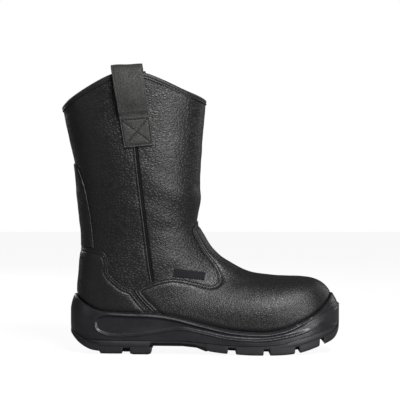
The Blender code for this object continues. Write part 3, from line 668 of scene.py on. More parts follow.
def brushed_steel(name):
    made = Finish(name, 0.32, 0.5, 1.0)
    streaks = made.noise(made.scaled(1, 14, 14), 160, 4.0)
    oil = made.noise(made.place, 26, 4.0)
    made.colours(oil, (0.3, (0.30, 0.31, 0.33)), (0.7, (0.52, 0.53, 0.54)))
    made.shine(streaks, 0.24, 0.46)
    made.relief((streaks, 0.03),)
    return made.material


def fibre(name, dark, light, grain, depth):
    """Board or foam: short fibres or open cells."""
    made = Finish(name, 0.92, 0.25)
    hairs = made.noise(made.scaled(1, 2.4, 1), grain, 5.0, 0.65)
    flecks = made.range(made.cells(made.place, grain * 0.4, "F1"), 0.0, 0.6)
    made.colours(made.mix(hairs, 0.6, flecks, 0.4), (0.25, dark), (0.75, light))
    made.relief((hairs, depth), (flecks, depth * 0.6))
    return made.material


def grey(value):
    return (value, value, value)


LOOKS = {
    # dark, light, the pebbles' size and relief in millimetres, roughness, specular
    "grained_leather": (leather, grey(0.006), grey(0.015), 3.9, 0.25, 0.42),
    "smooth_leather": (leather, grey(0.008), grey(0.015), 2.2, 0.14, 0.40),
    "strap_leather": (leather, (0.024, 0.024, 0.0228), (0.042, 0.0414, 0.0394), 1.3, 0.22, 0.46),
    "piping": (leather, grey(0.006), grey(0.012), 1.1, 0.05, 0.85, 0.1),
    "binding": (leather, (0.010, 0.010, 0.011), (0.018, 0.018, 0.019), 0.9, 0.06, 0.40),
    # dark, light, roughness, the grain's rate, relief
    "polyurethane": (moulded, (0.013, 0.013, 0.0155), (0.021, 0.021, 0.025), 0.34, 1700, 0.05),
    "tread_rubber": (moulded, (0.014, 0.014, 0.0165), (0.024, 0.024, 0.028), 0.50, 1200, 0.06),
    # dark, light, the threads' pitch and relief in millimetres, roughness, sheen
    "lining_textile": (woven, (0.045, 0.046, 0.050), (0.12, 0.12, 0.125), 1.1, 0.22),
    "label_textile": (woven, (0.004, 0.004, 0.007), (0.010, 0.010, 0.016), 0.5, 0.08, 0.8, 0.0),
    "thread": (woven, grey(0.006), (0.016, 0.016, 0.017), 0.3, 0.05, 0.6, 0.0),
    # dark, light, the fibres' rate, relief
    "foam": (fibre, (0.10, 0.10, 0.11), (0.20, 0.20, 0.21), 900, 0.12),
    "board": (fibre, (0.30, 0.26, 0.20), (0.50, 0.45, 0.36), 700, 0.10),
    "steel": (brushed_steel,),
}
MATERIALS = {name: make(name, *values) for name, (make, *values) in LOOKS.items()}


# ---------------------------------------------------------------- stitches


STITCH_SIDES = 6
STITCH_SHAPE = ((-1.0, 0.0), (-0.93, 0.6), (-0.7, 0.95), (0.0, 1.0), (0.7, 0.95), (0.93, 0.6), (1.0, 0.0))
STITCH_LENGTH = 0.84  # of the pitch
STITCH_BOW = 0.36  # a stitch's ends dip this share of its radius


def capsule():
    """A unit stitch along x from -1 to 1 with round ends, as rings of (x, y, z)."""
    rings = []
    for x, radius in STITCH_SHAPE:
        for k in range(STITCH_SIDES):
            angle = 2 * math.pi * k / STITCH_SIDES
            rings.append((x, radius * math.cos(angle), radius * math.sin(angle)))
    return np.array(rings), grid_faces(len(STITCH_SHAPE), STITCH_SIDES, wrap_columns=True)


def stitches(name, lines, offset, pitch=3.4, thread=0.42):
    """Rows of thread along (place, out) lines, half sunk at that offset from the surface."""
    shape, faces = capsule()
    x, y, z = shape.T[:, None, :, None]
    points, every, base = [], [], 0
    for place, out in lines:
        along = lengths(place)
        count = int(along[-1] / pitch)
        if count < 1:
            continue
        marks = (np.arange(count) + 0.5) * along[-1] / count
        half = along[-1] / count * STITCH_LENGTH / 2
        start, end, normal = (
            np.column_stack([np.interp(at, along, values[:, k]) for k in range(3)])
            for at, values in ((marks - half, place), (marks + half, place), (marks, out))
        )
        forward = end - start
        ahead = unit(forward)
        across = unit(np.cross(unit(normal), ahead))
        up = np.cross(ahead, across)
        length = (np.linalg.norm(forward, axis=1) / 2)[:, None, None]
        middle = (start + end) / 2 + up * offset
        stitch = (
            middle[:, None, :]
            + ahead[:, None, :] * (x * length)
            + across[:, None, :] * (y * thread)
            + up[:, None, :] * ((z - STITCH_BOW * x**2) * thread)
        )
        points.append(stitch.reshape(-1, 3))
        every += [faces + base + i * len(shape) for i in range(count)]
        base += count * len(shape)
    mesh_object(name, np.vstack(points), np.concatenate(every), "thread", sharp=80)


# ---------------------------------------------------------------- upper

# How far out from the last each layer's outer and inner face lies.
SHAFT, SHAFT_INNER = 0.0, -2.0
OVER, OVER_INNER = 2.1, 0.5  # the vamp and the heel cover, sewn over the shaft
STAY, STAY_INNER = 1.6, 0.2
LINING, LINING_INNER = -2.5, -3.8

BINDING_DROP = 2.0  # the shaft's panels and linings end this far below the collar's line
FRONT_EDGE, REAR_EDGE = 1.5, 2.75  # from the side seam to each panel
SEAM_STITCHES = 4.3  # from the side seam to the rear panel's row
UNDERLAP = 8.5  # the shaft's panels go on this far under the leather sewn over them
BEHIND_RIM = 9.0  # the lower leather goes on this far down behind the sole's rim
LINING_SPLIT_Z = 128.0  # the shaft's lining lies above this, and the other two below
LINING_SPLIT_X = -30.0  # the vamp's lining lies ahead of this, and the heel's behind
LINING_FLOOR = 6.0  # the linings end this far over the cavity's floor

EDGE_ROUND = ((0, 0.12, 0.35, 0.8, 1.2), (0.45, 0.72, 0.92, 0.99, 1.0))  # distance in, share of height
PANEL_ROUND = ((0, 0.25, 0.6, 1.2), (0, 0.6, 0.9, 1.0))
PANEL_FALL = 1.3  # how far a shaft panel's outer face goes down at its edge
ROWS = (1.8, 5.0)  # distance of the two rows of stitches from an edge
STAY_ROWS = (1.8,)
GROOVE_HALF = 1.35  # half the width of the groove under a row
SEAM_DROP = 0.7  # the leather between its edge and the stitches lies this much lower
FEATHER = 1.3  # the leather turns in this much where it goes down behind the sole's rim


def edge_profile(distance, low, high, rows=ROWS, sink=0.5, drop=SEAM_DROP):
    """The outer offset near a cut and skived edge, with a groove under each row of stitches."""
    shape = low + (high - drop - low) * np.interp(distance, *EDGE_ROUND)
    for row in rows:
        shape = shape - sink * bump(distance, row, GROOVE_HALF)
    return shape + drop * ease(rows[-1] + 0.4, rows[-1] + 3.8, distance)


def refine(sheet, field, rows=ROWS):
    """Points along the edge's rounding and the stitch grooves."""
    for level in EDGE_ROUND[0][1:4]:
        sheet.split(field, level)
    for row in rows:
        for step in (-1.3, -0.65, 0.0, 0.65, 1.3):
            sheet.split(field, row + step)


def feather(sheet):
    """How far the leather turns in near the sole's rim."""
    return FEATHER * (1 - ease(-0.5, 4.5, sheet.values["low"]))


def add_fields(last):
    """How far each point lies inside each seam line and over the sole's rim."""
    for name, line, steps, closing in (
        ("seam", SIDE_SEAM, 3, [(-12, -20), (300, -20), (300, 330)]),
        ("vamp", VAMP_EDGE, 3, [(200, 10), (200, 153)]),
        ("heel", HEEL_EDGE, 3, [(-200, 8), (-200, 121)]),
        ("stay", STAY_EDGE, 3, [(-200, 118), (-200, 214)]),
        ("top", TOPLINE, 4, [(60, 281), (300, 281), (300, -60), (-300, -60), (-300, 266)]),
    ):
        add_field(last, name, smooth(line, steps), closing)
    place = last.values["place"]
    last.values["low"] = place[:, 2] - height(raised_rim(), place[:, 0])
    last.values["side"] = -place[:, 1]


def add_overlay(name, node, sheet, field):
    """Leather sewn over the shaft with two rows of stitches."""
    refine(sheet, field)
    depth = edge_profile(sheet.values[field], OVER_INNER, OVER) - feather(sheet)
    stands_for(shell(name, sheet, depth, OVER_INNER, "smooth_leather"), node)


def add_lower_leather(last):
    """The vamp, the heel cover and the back stay above it."""
    vamp = last.copy().keep("vamp").keep("low", -BEHIND_RIM)
    add_overlay("vamp_leather", "vamp", vamp, "vamp")
    heel = last.copy().keep("heel").keep("low", -BEHIND_RIM).keep_outside("vamp", 0.5)
    add_overlay("heel_leather", "heel_cover", heel, "heel")
    stay = last.copy().keep("stay").keep_outside("heel", 0.4)
    refine(stay, "stay", STAY_ROWS)
    depth = edge_profile(stay.values["stay"], 0.3, STAY, STAY_ROWS, 0.4, 0.3)
    piece = shell("back_stay_leather", stay, depth, STAY_INNER, "smooth_leather")
    stands_for(piece, "back_stay")


def panel_face(distance):
    """A shaft panel's outer offset at that distance from its edge at the side seam."""
    return SHAFT - PANEL_FALL * (1 - np.interp(distance, *PANEL_ROUND))


def add_shaft_panels(last):
    """The front panel and the two rear ones, which meet at the back."""
    shaft = last.copy().keep("top", BINDING_DROP).keep_outside("vamp", -UNDERLAP)
    front = shaft.copy().keep("seam", FRONT_EDGE)
    for step in PANEL_ROUND[0][1:]:
        front.split("seam", FRONT_EDGE + step)
    depth = panel_face(front.values["seam"] - FRONT_EDGE)
    piece = shell("front_shaft_leather", front, depth, SHAFT_INNER, "grained_leather")
    stands_for(piece, "front_shaft_panel")

    shaft.values["behind"] = -shaft.values["seam"]
    rear = shaft.keep("behind", REAR_EDGE).keep_outside("heel", -UNDERLAP)
    for step in PANEL_ROUND[0][1:]:
        rear.split("behind", REAR_EDGE + step)
    for step in (-0.8, 0.0, 0.8):
        rear.split("behind", SEAM_STITCHES + step)
    for side, sign in (("outer", 1), ("inner", -1)):
        half = rear.copy()
        half.values["half"] = half.values["side"] * sign
        half.keep("half")
        behind = half.values["behind"]
        depth = panel_face(behind - REAR_EDGE) - 0.35 * bump(behind, SEAM_STITCHES, 0.9)
        depth = depth - 0.9 * (1 - ease(0.0, 0.8, half.values["half"]))
        piece = shell(f"{side}_rear_shaft_leather", half, depth, SHAFT_INNER, "grained_leather")
        stands_for(piece, f"{side}_rear_shaft_panel")


def raised_rim():
    return smooth(RIM_TOP, 2)


def add_lining(name, sheet):
    piece = shell(f"{name}_cloth", sheet, LINING, LINING_INNER, "lining_textile")
    stands_for(piece, name)


def add_linings(last):
    """The shaft's lining, and below it the vamp's and the heel's."""
    lining = last.copy().keep("top", BINDING_DROP)
    lining.values["above"] = lining.values["place"][:, 2] - LINING_SPLIT_Z
    add_lining("shaft_lining", lining.copy().keep("above"))
    lower = lining.keep_outside("above", 0.2)
    lower.values["ahead"] = lower.values["place"][:, 0] - LINING_SPLIT_X
    for name, part in (
        ("vamp_lining", lower.copy().keep("ahead")),
        ("heel_lining", lower.copy().keep_outside("ahead", 0.4)),
    ):
        place = part.values["place"]
        part.values["floor"] = place[:, 2] - height(FLOOR, place[:, 0]) - LINING_FLOOR
        add_lining(name, part.keep("floor"))


def rows_along(sheet, field, rows):
    return [line for row in rows for line in sheet.contours(field, row)]


def add_stitching(last):
    """The rows along the vamp, the heel cover, the back stay and the side seams."""
    sewn = OVER - SEAM_DROP - 0.35
    visible = last.copy().keep("low", -1.0)
    stitches("vamp_stitches", rows_along(visible, "vamp", ROWS), sewn)
    rear = visible.keep_outside("vamp", 1.0)
    stitches("heel_stitches", rows_along(rear, "heel", ROWS), sewn)
    rear.keep_outside("heel", 1.0)
    stitches("back_stay_stitches", rows_along(rear, "stay", STAY_ROWS), 1.0, 3.0, 0.36)
    rear.values["below_loop"] = FOOT_Z - 3.0 - rear.values["place"][:, 2]
    rear.keep("below_loop")
    stitches("side_seam_stitches", rear.contours("seam", -SEAM_STITCHES), -0.2, 3.0, 0.34)


# Name, distance ahead of the side seam, radius, how far out from the last, material.
# The fold is made of the lighter strap leather so that it shows as a light line beside the dark bead: partly
# painted highlight, partly real light on its raised edge.
SEAM_TRIM = (("bead", 0.05, 1.45, -1.0, "piping"), ("fold", -2.05, 0.85, 0.25, "strap_leather"))
TRIM_SIDES = 14


def add_piping(last):
    """A bead down each side seam with the edge of its folded strip behind it."""
    part = last.copy().keep_outside("vamp", -3.0).keep("top", 3.0)
    for label, shift, radius, offset, look in SEAM_TRIM:
        for place, out in part.contours("seam", shift):
            side = "outer" if place[:, 1].mean() < 0 else "inner"
            line = evenly(np.hstack([place, out]), 2.0)
            normal = unit(line[:, 3:])
            middle = line[:, :3] + normal * offset
            across = unit(np.cross(unit(np.gradient(middle, axis=0)), normal))
            rings = np.stack([
                middle + across * (math.cos(a) * radius) + normal * (math.sin(a) * radius * 0.92)
                for a in np.linspace(0, 2 * math.pi, TRIM_SIDES + 1)[:-1]
            ], axis=1)
            piece = loft(f"{side}_seam_{label}", rings, look)
            if label == "bead":
                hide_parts(f"{side}_side_piping")


BINDING_PROFILE = [  # (out, up) from the collar's line, round the section
    (0.35, -3.9), (0.95, -3.8), (1.20, -3.2), (1.05, -2.6), (0.55, -2.1), (0.50, -1.8), (0.85, -1.2),
    (1.00, -0.4), (0.75, 0.6), (0.15, 1.5), (-0.8, 2.1), (-2.0, 2.35), (-3.2, 2.0), (-4.1, 1.1),
    (-4.6, -0.2), (-4.7, -1.4), (-4.7, -2.4), (-4.8, -3.4), (-4.6, -3.9), (-4.1, -3.8), (-4.0, -2.4),
    (-2.6, -1.0), (-1.2, -1.0), (0.1, -2.2),
]
BINDING_ROW = 1.95  # its stitches lie this far below the collar's line


def add_binding(last):
    """The rolled edge round the collar, with its stitched lower edge."""
    place, out = max(last.contours("top", 0.0), key=lambda line: len(line[0]))
    loop = relax(evenly(np.hstack([place, out])[:-1], 1.4, closed=True), 4)
    middle, normal = loop[:, :3], unit(loop[:, 3:])
    up = unit(np.cross(heading(middle), normal))
    up = up * np.sign(up[:, 2:])
    rings = np.stack([middle + normal * o + up * h for o, h in BINDING_PROFILE], axis=1)
    faces = grid_faces(*rings.shape[:2], wrap_rows=True, wrap_columns=True)
    piece = face_out(mesh_object("collar_binding_leather", rings.reshape(-1, 3), faces, "binding"))
    stands_for(piece, "collar_binding")
    row, out = (np.vstack([line, line[:1]]) for line in (middle - up * BINDING_ROW, normal))
    stitches("collar_stitches", [(row, out)], 0.5, 3.0, 0.32)


# ---------------------------------------------------------------- pull loops

NEAREST = 6  # points of the last that are averaged


def wall_at(last, x, z, side):
    """Distance of the upper's surface from the middle plane at side-view points."""
    place = last.values["place"]
    near = place[place[:, 1] * side > 0]
    result = np.empty(len(x))
    for i, (px, pz) in enumerate(zip(x, z)):
        gap = (near[:, 0] - px) ** 2 + (near[:, 2] - pz) ** 2
        best = np.argpartition(gap, NEAREST)[:NEAREST]
        weight = 1 / (gap[best] + 0.05)
        result[i] = (np.abs(near[best, 1]) * weight).sum() / weight.sum()
    return result


def loop_shape(z):
    """Half the strap's width, its middle's x and its slant where its middle line is at z."""
    share = (z - FOOT_Z) / (CROWN_Z - FOOT_Z)
    half = (LOOP_WIDTHS[0] + share * (LOOP_WIDTHS[1] - LOOP_WIDTHS[0])) / 2
    slant = LOOP_SLANTS[0] + share * (LOOP_SLANTS[1] - LOOP_SLANTS[0])
    return half, LOOP_X + LOOP_LEAN * (z - FOOT_Z), slant


def stitch_box(u, z):
    """Distance from the sewn square and its cross, on the strap's own flat (u, z)."""
    half = LOOP_WIDTHS[0] / 2 - BOX_INSET + (z - BOX_LOW) * BOX_SPREAD
    middle = (BOX_LOW + BOX_HIGH) / 2
    above = np.maximum(0, np.maximum(BOX_LOW - z, z - BOX_HIGH))
    beside = np.maximum(0, np.abs(u) - half)
    sides = np.minimum.reduce([
        np.hypot(np.abs(u) - half, above), np.hypot(z - BOX_LOW, beside), np.hypot(z - BOX_HIGH, beside),
    ])
    run = np.stack([2 * half, np.full_like(half, BOX_HIGH - BOX_LOW)])
    run = run / np.hypot(*run)
    cross = np.minimum(
        np.abs(u * run[1] - (z - middle) * run[0]), np.abs(u * run[1] + (z - middle) * run[0])
    )
    return np.where((above == 0) & (beside == 0), np.minimum(sides, cross), sides)


def loop_line(last, side):
    """The strap's middle line: (distance from the middle plane, z), from its foot over the top."""
    x, z = np.array([(-69, FOOT_Z), (-71, 246), (-73, SEWN_Z), (-75, 270), (-80, 310)]).T
    foot, low, sewn, wall, top_wall = wall_at(last, x, z, side)
    outer = 0.4 + LOOP_THICKNESS / 2
    inner = 3.8 + outer
    path = [
        (foot + outer, FOOT_Z), (low + outer + 0.3, 246), (sewn + outer + 0.8, SEWN_Z),
        (wall + 5.2, 271), (wall + 8.4, 284), (wall + 8.4, 298), (top_wall + 6.0, 312),
        (top_wall + 2.4, CROWN_Z - 3.0), (top_wall - 3.0, CROWN_Z), (top_wall - 9.0, CROWN_Z - 4.2),
        (top_wall - 13.0, 309), (wall - 13.0, 296), (wall - inner - 3.6, 284),
        (wall - inner - 1.9, 270), (wall - inner - 1.6, 256),
    ]
    return evenly(smooth(path, 10), 0.8)


def add_pull_loops(last):
    """The two straps, each sewn on outside the shaft and folded over the collar."""
    for name, side in (("outer_pull_loop", -1), ("inner_pull_loop", 1)):
        line = loop_line(last, side)
        count = len(line)
        order = np.arange(count)[:, None]
        normal = np.gradient(line, axis=0)
        normal = unit(np.column_stack([normal[:, 1], -normal[:, 0]]))
        across = np.linspace(-1, 1, 49)
        across = np.sign(across) * np.abs(across) ** 0.9
        half, middle_x, slant = (values[:, None] for values in loop_shape(line[:, 1]))
        u_grid = half * across[None, :]
        rise = u_grid * slant
        x_grid = middle_x + u_grid
        z_flat = np.repeat(line[:, 1][:, None], len(across), axis=1)
        droop = drape(last, line, x_grid, z_flat + rise, middle_x[:, 0], side)
        crease = stitch_box(u_grid, z_flat)
        on_front = order < count * 0.45
        pillow = 0.55 * (1 - np.exp(-crease / 2.2)) - 0.55 * bump(crease, 0, 0.95)
        pillow = pillow * ease(BOX_HIGH + 9, BOX_HIGH + 1, z_flat) * on_front
        from_edge = half * (1 - np.abs(across)[None, :])
        rounding = np.interp(from_edge, (0, 0.25, 0.7, 1.5), (0.45, 0.78, 0.95, 1.0))
        groove = -0.3 * bump(from_edge, 2.0, 0.8) * (z_flat >= BOX_HIGH)
        fold = -0.9 * bump(z_flat, BOX_HIGH + 4.5, 4.0) * on_front
        curl = 0.9 * (across**2)[None, :] * bump(line[:, 1], 290, 34)[:, None]
        dents = 0.35 * ripple(np.stack([x_grid, 0 * x_grid, z_flat], axis=-1).reshape(-1, 3), 26, 11)
        dents = dents.reshape(x_grid.shape) * (z_flat > BOX_HIGH + 6)
        thick = LOOP_THICKNESS / 2
        points = []
        for sign in (1, -1):
            lift = sign * thick * rounding + (pillow + groove if sign > 0 else 0) - curl + fold + dents
            y = line[:, 0][:, None] + droop + normal[:, 0][:, None] * lift
            z = z_flat + rise + normal[:, 1][:, None] * lift
            points.append(np.stack([x_grid, side * y, z], axis=-1))
        rings = np.concatenate([points[0], points[1][:, ::-1]], axis=1)
        stands_for(loft(f"{name}_strap", rings, "strap_leather", sharp=50), name)
        add_loop_stitches(name, points[0], line, across, side)


def drape(last, line, x, z, middle_x, side):
    """How far the sewn part of the strap lies off its middle line, to follow the shaft's curve."""
    count = len(line)
    sewn = ease(SEWN_Z + 14, SEWN_Z - 2, line[:, 1]) * (np.arange(count) < count * 0.5)
    follow = sewn > 0.01
    centre = wall_at(last, middle_x[follow], line[follow, 1], side)
    droop = np.zeros_like(x)
    wall = wall_at(last, x[follow].ravel(), z[follow].ravel(), side).reshape(-1, x.shape[1])
    droop[follow] = (wall - centre[:, None]) * sewn[follow][:, None]
    return droop


def add_loop_stitches(name, face, line, across, side):
    """The square with a cross that sews each strap to the shaft."""
    half = LOOP_WIDTHS[0] / 2 - BOX_INSET
    wide = half + (BOX_HIGH - BOX_LOW) * BOX_SPREAD
    corners = [(-half, BOX_LOW), (half, BOX_LOW), (wide, BOX_HIGH), (-wide, BOX_HIGH), (-half, BOX_LOW)]
    runs = [corners, [corners[0], corners[2]], [corners[3], corners[1]]]
    front = line[:int(len(line) * 0.3), 1]
    rows = []
    for run in runs:
        u, z = evenly(np.array(run, float), 0.7).T
        row = np.round(np.interp(z, front, np.arange(len(front)))).astype(int).clip(1)
        share = u / loop_shape(z)[0]
        column = np.round(np.interp(share, across, np.arange(len(across)))).astype(int).clip(1)
        here = face[row, column]
        down, aside = face[row - 1, column] - here, face[row, column - 1] - here
        out = unit(np.cross(down, aside))
        out = out * np.sign(out[:, 1:2] * side)
        rows.append((here, out))
    stitches(f"{name}_stitches", rows, 0.1, 3.2, 0.5)


# ---------------------------------------------------------------- label


LABEL_CENTRE = (-12.8, 89.2)
LABEL_HALF_LENGTH, LABEL_HALF_HEIGHT = 17.5, 4.4
LABEL_TILT = math.radians(-7)


def add_label(last):
    """A plain woven label with a turned, stitched border and no lettering."""
    half, rise, tilt = LABEL_HALF_LENGTH, LABEL_HALF_HEIGHT, LABEL_TILT
    columns, rows = 67, 21
    u, v = np.meshgrid(np.linspace(-half, half, columns), np.linspace(-rise, rise, rows))
    x = LABEL_CENTRE[0] + u * math.cos(tilt) - v * math.sin(tilt)
    z = LABEL_CENTRE[1] + u * math.sin(tilt) + v * math.cos(tilt)
    y = smooth_grid(wall_at(last, x.ravel(), z.ravel(), -1).reshape(x.shape), 3)
    edge = np.minimum(half - np.abs(u), rise - np.abs(v))
    outer = 0.45 + 0.65 * np.interp(edge, (0, 0.3, 0.7), (0.3, 0.85, 1.0)) - 0.16 * bump(edge, 1.2, 0.45)
    outer = outer + 0.04 * np.sin(u * 5.2) * (edge > 1.6)
    top, low = (np.stack([x, -(y + out), z], axis=-1).reshape(-1, 3) for out in (outer, 0.25))
    quads = grid_faces(rows, columns)
    count = len(top)
    border = [*range(columns), *range(2 * columns - 1, count, columns)]
    border += [*range(count - 2, count - columns - 1, -1), *range(count - 2 * columns, 0, -columns)]
    walls = [(a, b, b + count, a + count) for a, b in zip(border, [*border[1:], border[0]])]
    faces = quads.tolist() + (quads[:, ::-1] + count).tolist() + walls
    piece = face_out(mesh_object("side_label_cloth", np.vstack([top, low]), faces, "label_textile"))
    stands_for(piece, "side_label")


def smooth_grid(values, times):
    """Evens out a grid of values, each with its four neighbours."""
    for _ in range(times):
        wide = np.pad(values, 1, mode="edge")
        inner = wide[1:-1, 1:-1] * 2
        values = (inner + wide[:-2, 1:-1] + wide[2:, 1:-1] + wide[1:-1, :-2] + wide[1:-1, 2:]) / 6
    return values


# ---------------------------------------------------------------- sole

SOLE_STEP = 0.85  # between points round the outline
LEVELS = 60  # rings down the midsole's wall
LIP = ((0.0, -0.9), (0.35, -0.25), (1.0, 0.0), (1.8, -0.25), (2.3, -0.7))  # (off the leather, up)
LIP_DROP = 1.1  # the wall starts this far below the rim
LOWER_BEAD = [
    (-118.9, 33.5), (-118.2, 29.5), (-115.8, 26.4), (-112.6, 24.4), (-107, 22.3), (-101.3, 21.1),
    (-90.2, 20.5), (-73.4, 21.5), (-56.6, 24.0), (-40, 26.8), (-23.3, 28.9), (-6.6, 26.3), (9.9, 22.8),
    (26.4, 19.1), (43, 17.5), (59.5, 16.6), (76, 17.6), (92.6, 20.3), (109.2, 24.2), (120.6, 28.5),
    (130, 33.0),
]
LOOP_TIP = [(-119.0, 36.6), (-116.5, 40.8), (-113.0, 42.7), (-108.5, 44.2)]
TOE_RIDGE = [
    (92, 33.2), (101, 33.2), (107, 34.0), (113.2, 35.2), (126.6, 41.2), (137.9, 47.7), (149.1, 52), (160, 55),
]
UPPER_DROP = 3.2  # the upper bead lies this far below the rim
BEAD = 1.4  # half the width of a bead
BEAD_HEIGHT = 0.8
RECESS_DEPTH = 1.5
RECESS_END = (104.0, 128.0)  # the recessed panel and its lower bead fade out between these


def bead_outline():
    """The closed side-view line that the two beads follow round the recessed panel."""
    rim = raised_rim()
    upper = [(x, height(rim, x) - UPPER_DROP) for x in np.arange(-103.0, 133.0, 4.0)]
    return smooth([*LOOP_TIP, *upper, *reversed(LOWER_BEAD), LOOP_TIP[0]], 4)


def rim_height(x, y):
    level = height(raised_rim(), x)
    for (centre, drops), from_x, sign in ((BUMPER_ARCH, 112.0, 1), (HEEL_ARCH, -112.0, -1)):
        drops = np.array(drops, float)
        arch = np.interp(np.abs(y - centre), drops[:, 0], drops[:, 1])
        lower = -np.logaddexp(-level / 1.2, -arch / 1.2) * 1.2
        level = level + (lower - level) * ease(from_x, from_x + sign * 12, x)
    return level


def sole_samples():
    """Points round the sole's outline with their outward directions."""
    outline = evenly(smooth_loop(SOLE_OUTLINE, 12), SOLE_STEP, closed=True)
    run = heading(outline)
    out = np.column_stack([run[:, 1], -run[:, 0]])
    for _ in range(6):
        out = unit(relax(out, 1))
    return outline, out


def leather_gap(tree, outline, out, level):
    """How far inside the outline the leather lies at each sample's height."""
    found = np.full(len(outline), 12.0)
    for i, (point, direction) in enumerate(zip(outline, out)):
        start = Vector((*(point + direction * 5), level[i]))
        hit = tree.ray_cast(start, Vector((-direction[0], -direction[1], 0)), 60)[3]
        if hit is not None:
            found[i] = hit - 5
    return found


def inner_wall(tree, outline, out, rim):
    """Rings down inside the rim, against the leather, to under the cavity's floor."""
    floor = height(FLOOR, outline[:, 0])
    rings = []
    for drop in (2.0, 5.0, 9.0, 13.0):
        level = np.maximum(rim - drop, floor + 3.0 - drop * 0.1)
        gap = relax(leather_gap(tree, outline, out, level), 2)
        rings.append(np.column_stack([outline - out * np.maximum(gap, 0.5)[:, None], level]))
    rings.append(np.column_stack([outline - out * 16.0, floor - 3.6]))
    return rings


def outer_wall(outline, out, gap, rim, join):
    """Rings down the outside, drawn in to the leather at the top and out to the outline below."""
    x = outline[:, 0]
    span = np.interp(x, (-150, -120, 100, 150), (17, 9, 8, 12.5))
    share = np.linspace(0, 1, LEVELS)[None, :]
    level = (rim - LIP_DROP)[:, None] * (1 - share) + join[:, None] * share
    drop = rim[:, None] - level
    t = np.clip((drop - LIP_DROP) / span[:, None], 0, 1)
    power = np.interp(x, (60, 140), (1.6, 1.05))[:, None]
    wall = -np.maximum(gap - 2.5, -0.6)[:, None] * (1 - t) ** power
    wall = wall - heel_draw(x[:, None], level)
    wall = wall + moulding(outline, level, drop)
    return [np.column_stack([outline + out * wall[:, k][:, None], level[:, k]]) for k in range(LEVELS)]


def add_midsole(last):
    """The moulded midsole, whose rim closes on the leather all round."""
    outline, out = sole_samples()
    skin = last.values["place"] + last.values["out"] * (OVER + 0.15)
    tree = BVHTree.FromPolygons(skin.tolist(), last.faces.tolist())
    rim = rim_height(*outline.T)
    for _ in range(5):
        contact = outline - out * leather_gap(tree, outline, out, rim)[:, None]
        rim = relax(rim_height(*contact.T), 3)
    gap = relax(leather_gap(tree, outline, out, rim), 4)
    join = height(smooth(SOLE_JOIN, 4), outline[:, 0])
    inner = inner_wall(tree, outline, out, rim)
    lip = [np.column_stack([outline - out * (gap - off)[:, None], rim + up]) for off, up in LIP]
    bottom = np.column_stack([outline - out * 2.0, join])
    rings = np.stack([*inner[::-1], *lip, *outer_wall(outline, out, gap, rim, join), bottom])
    stands_for(loft("midsole_moulding", rings, "polyurethane", sharp=60), "midsole")


HEEL_DRAW = [
    (2.0, 11.0), (6.0, 8.4), (10.0, 5.8), (14.0, 3.7), (18.0, 2.2), (22.0, 1.1), (27.0, 0.3), (34.0, 0.0),
]


def heel_draw(x, level):
    """How far the heel is drawn in at that height."""
    return ease(-112, -142, x) * np.interp(level, *np.array(HEEL_DRAW).T)


def moulding(outline, level, drop):
    """Beads, the recessed panel, the toe's ridge and the heel's parting step."""
    x = np.repeat(outline[:, 0][:, None], level.shape[1], axis=1)
    flat = np.column_stack([x.ravel(), np.zeros(x.size), level.ravel()])
    line = bead_outline()
    distance, _ = line_distance(flat, line)
    signed = np.where(inside(flat, line), distance, -distance).reshape(x.shape)
    fade = ease(-123, -119, x) * ease(RECESS_END[1], RECESS_END[0], x)
    shape = fade * BEAD_HEIGHT * bump(signed, 0.0, BEAD)
    shape = shape - fade * RECESS_DEPTH * ease(0.5, 3.0, signed)
    shape = shape - fade * 0.15 * bump(signed, -1.9, 0.9)
    ridge = level - height(smooth(TOE_RIDGE, 3), x)
    bumper = ease(96, 118, x)
    shape = shape + bumper * (0.9 * bump(ridge, 0.0, 1.5) - 0.5 * bump(ridge, 2.6, 1.6))
    lower = height(smooth(LOWER_BEAD, 3), x)
    shape = shape + ease(108, 124, x) * 0.5 * ease(1.2, -0.6, level - lower)
    return shape - 0.6 * bump(drop, 0.8, 0.7)


GROOVE_DEPTH = 6.5
GROOVES = [(-83.5, 7.5), (34.0, 8.0), (72.5, 6.0), (106.5, 4.0), (135.0, 4.5)]  # (middle, width) across
WAIST_NEAR = [(-60, 13.3), (-40, 13.3), (-23, 13.3), (-7, 11.8), (4, 7.5), (10, 5.0)]  # its edges' underside
LUG_ENDS = ((-148.5, -55.0), (4.0, 158.4))  # the heel's tread and the forefoot's, in x


def add_outsole():
    """The slab that carries the tread, thinned under the waist."""
    outline, out = sole_samples()
    x = outline[:, 0]
    join = height(smooth(SOLE_JOIN, 4), x)
    tread = height(smooth(TREAD, 4), x)
    waist = ease(-60, -55, x) * ease(10, 3, x)
    root = tread + GROOVE_DEPTH + 1.0
    root = root * (1 - waist) + height(WAIST_NEAR, x) * waist
    root = np.minimum(root, join - 1.5)
    rear = ease(-112, -142, x)
    rings = [np.column_stack([outline - out * 12.0, join - 0.3])]
    for share, inset in ((0.0, 1.2), (0.06, 0.75), (0.5, 0.7), (0.9, 0.85), (0.98, 1.4)):
        level = (join - 0.3) * (1 - share) + root * share
        draw = inset * (1 - 0.95 * rear) + heel_draw(x, level)
        rings.append(np.column_stack([outline - out * draw[:, None], level]))
    for inward, down in ((3.0, 0.0), (10.0, -0.3), (14.0, -4.6), (22.0, -5.4)):
        rings.append(np.column_stack([outline - out * inward, root + down * waist]))
    slab = loft("outsole_slab", np.stack(rings), "tread_rubber", sharp=50)
    stands_for(slab, "outsole")
    add_lugs(outline)


CENTRE_ROW = 15.0  # half the width of the middle row of blocks, to the middle of its gaps
LUG_GAP = 4.0
# Share of the way down and millimetres in, from a lug's root to its face.
LUG_SIDE = ((0.0, 0.0), (0.5, 0.18), (0.80, 0.35), (0.92, 0.65), (0.985, 1.15), (1.0, 1.7))
LUG_CLEAR = 0.05  # no lug goes lower than this
CHEVRON = 3.0  # the middle of each centre block stands this much further forward
CENTRE_BLOCKS = [
    (-108, -93.5), (-90.5, -76.5), (-73.5, -60), (8, 22), (26, 42), (46, 61), (65, 80), (84, 96), (99, 113),
    (116, 128),
]


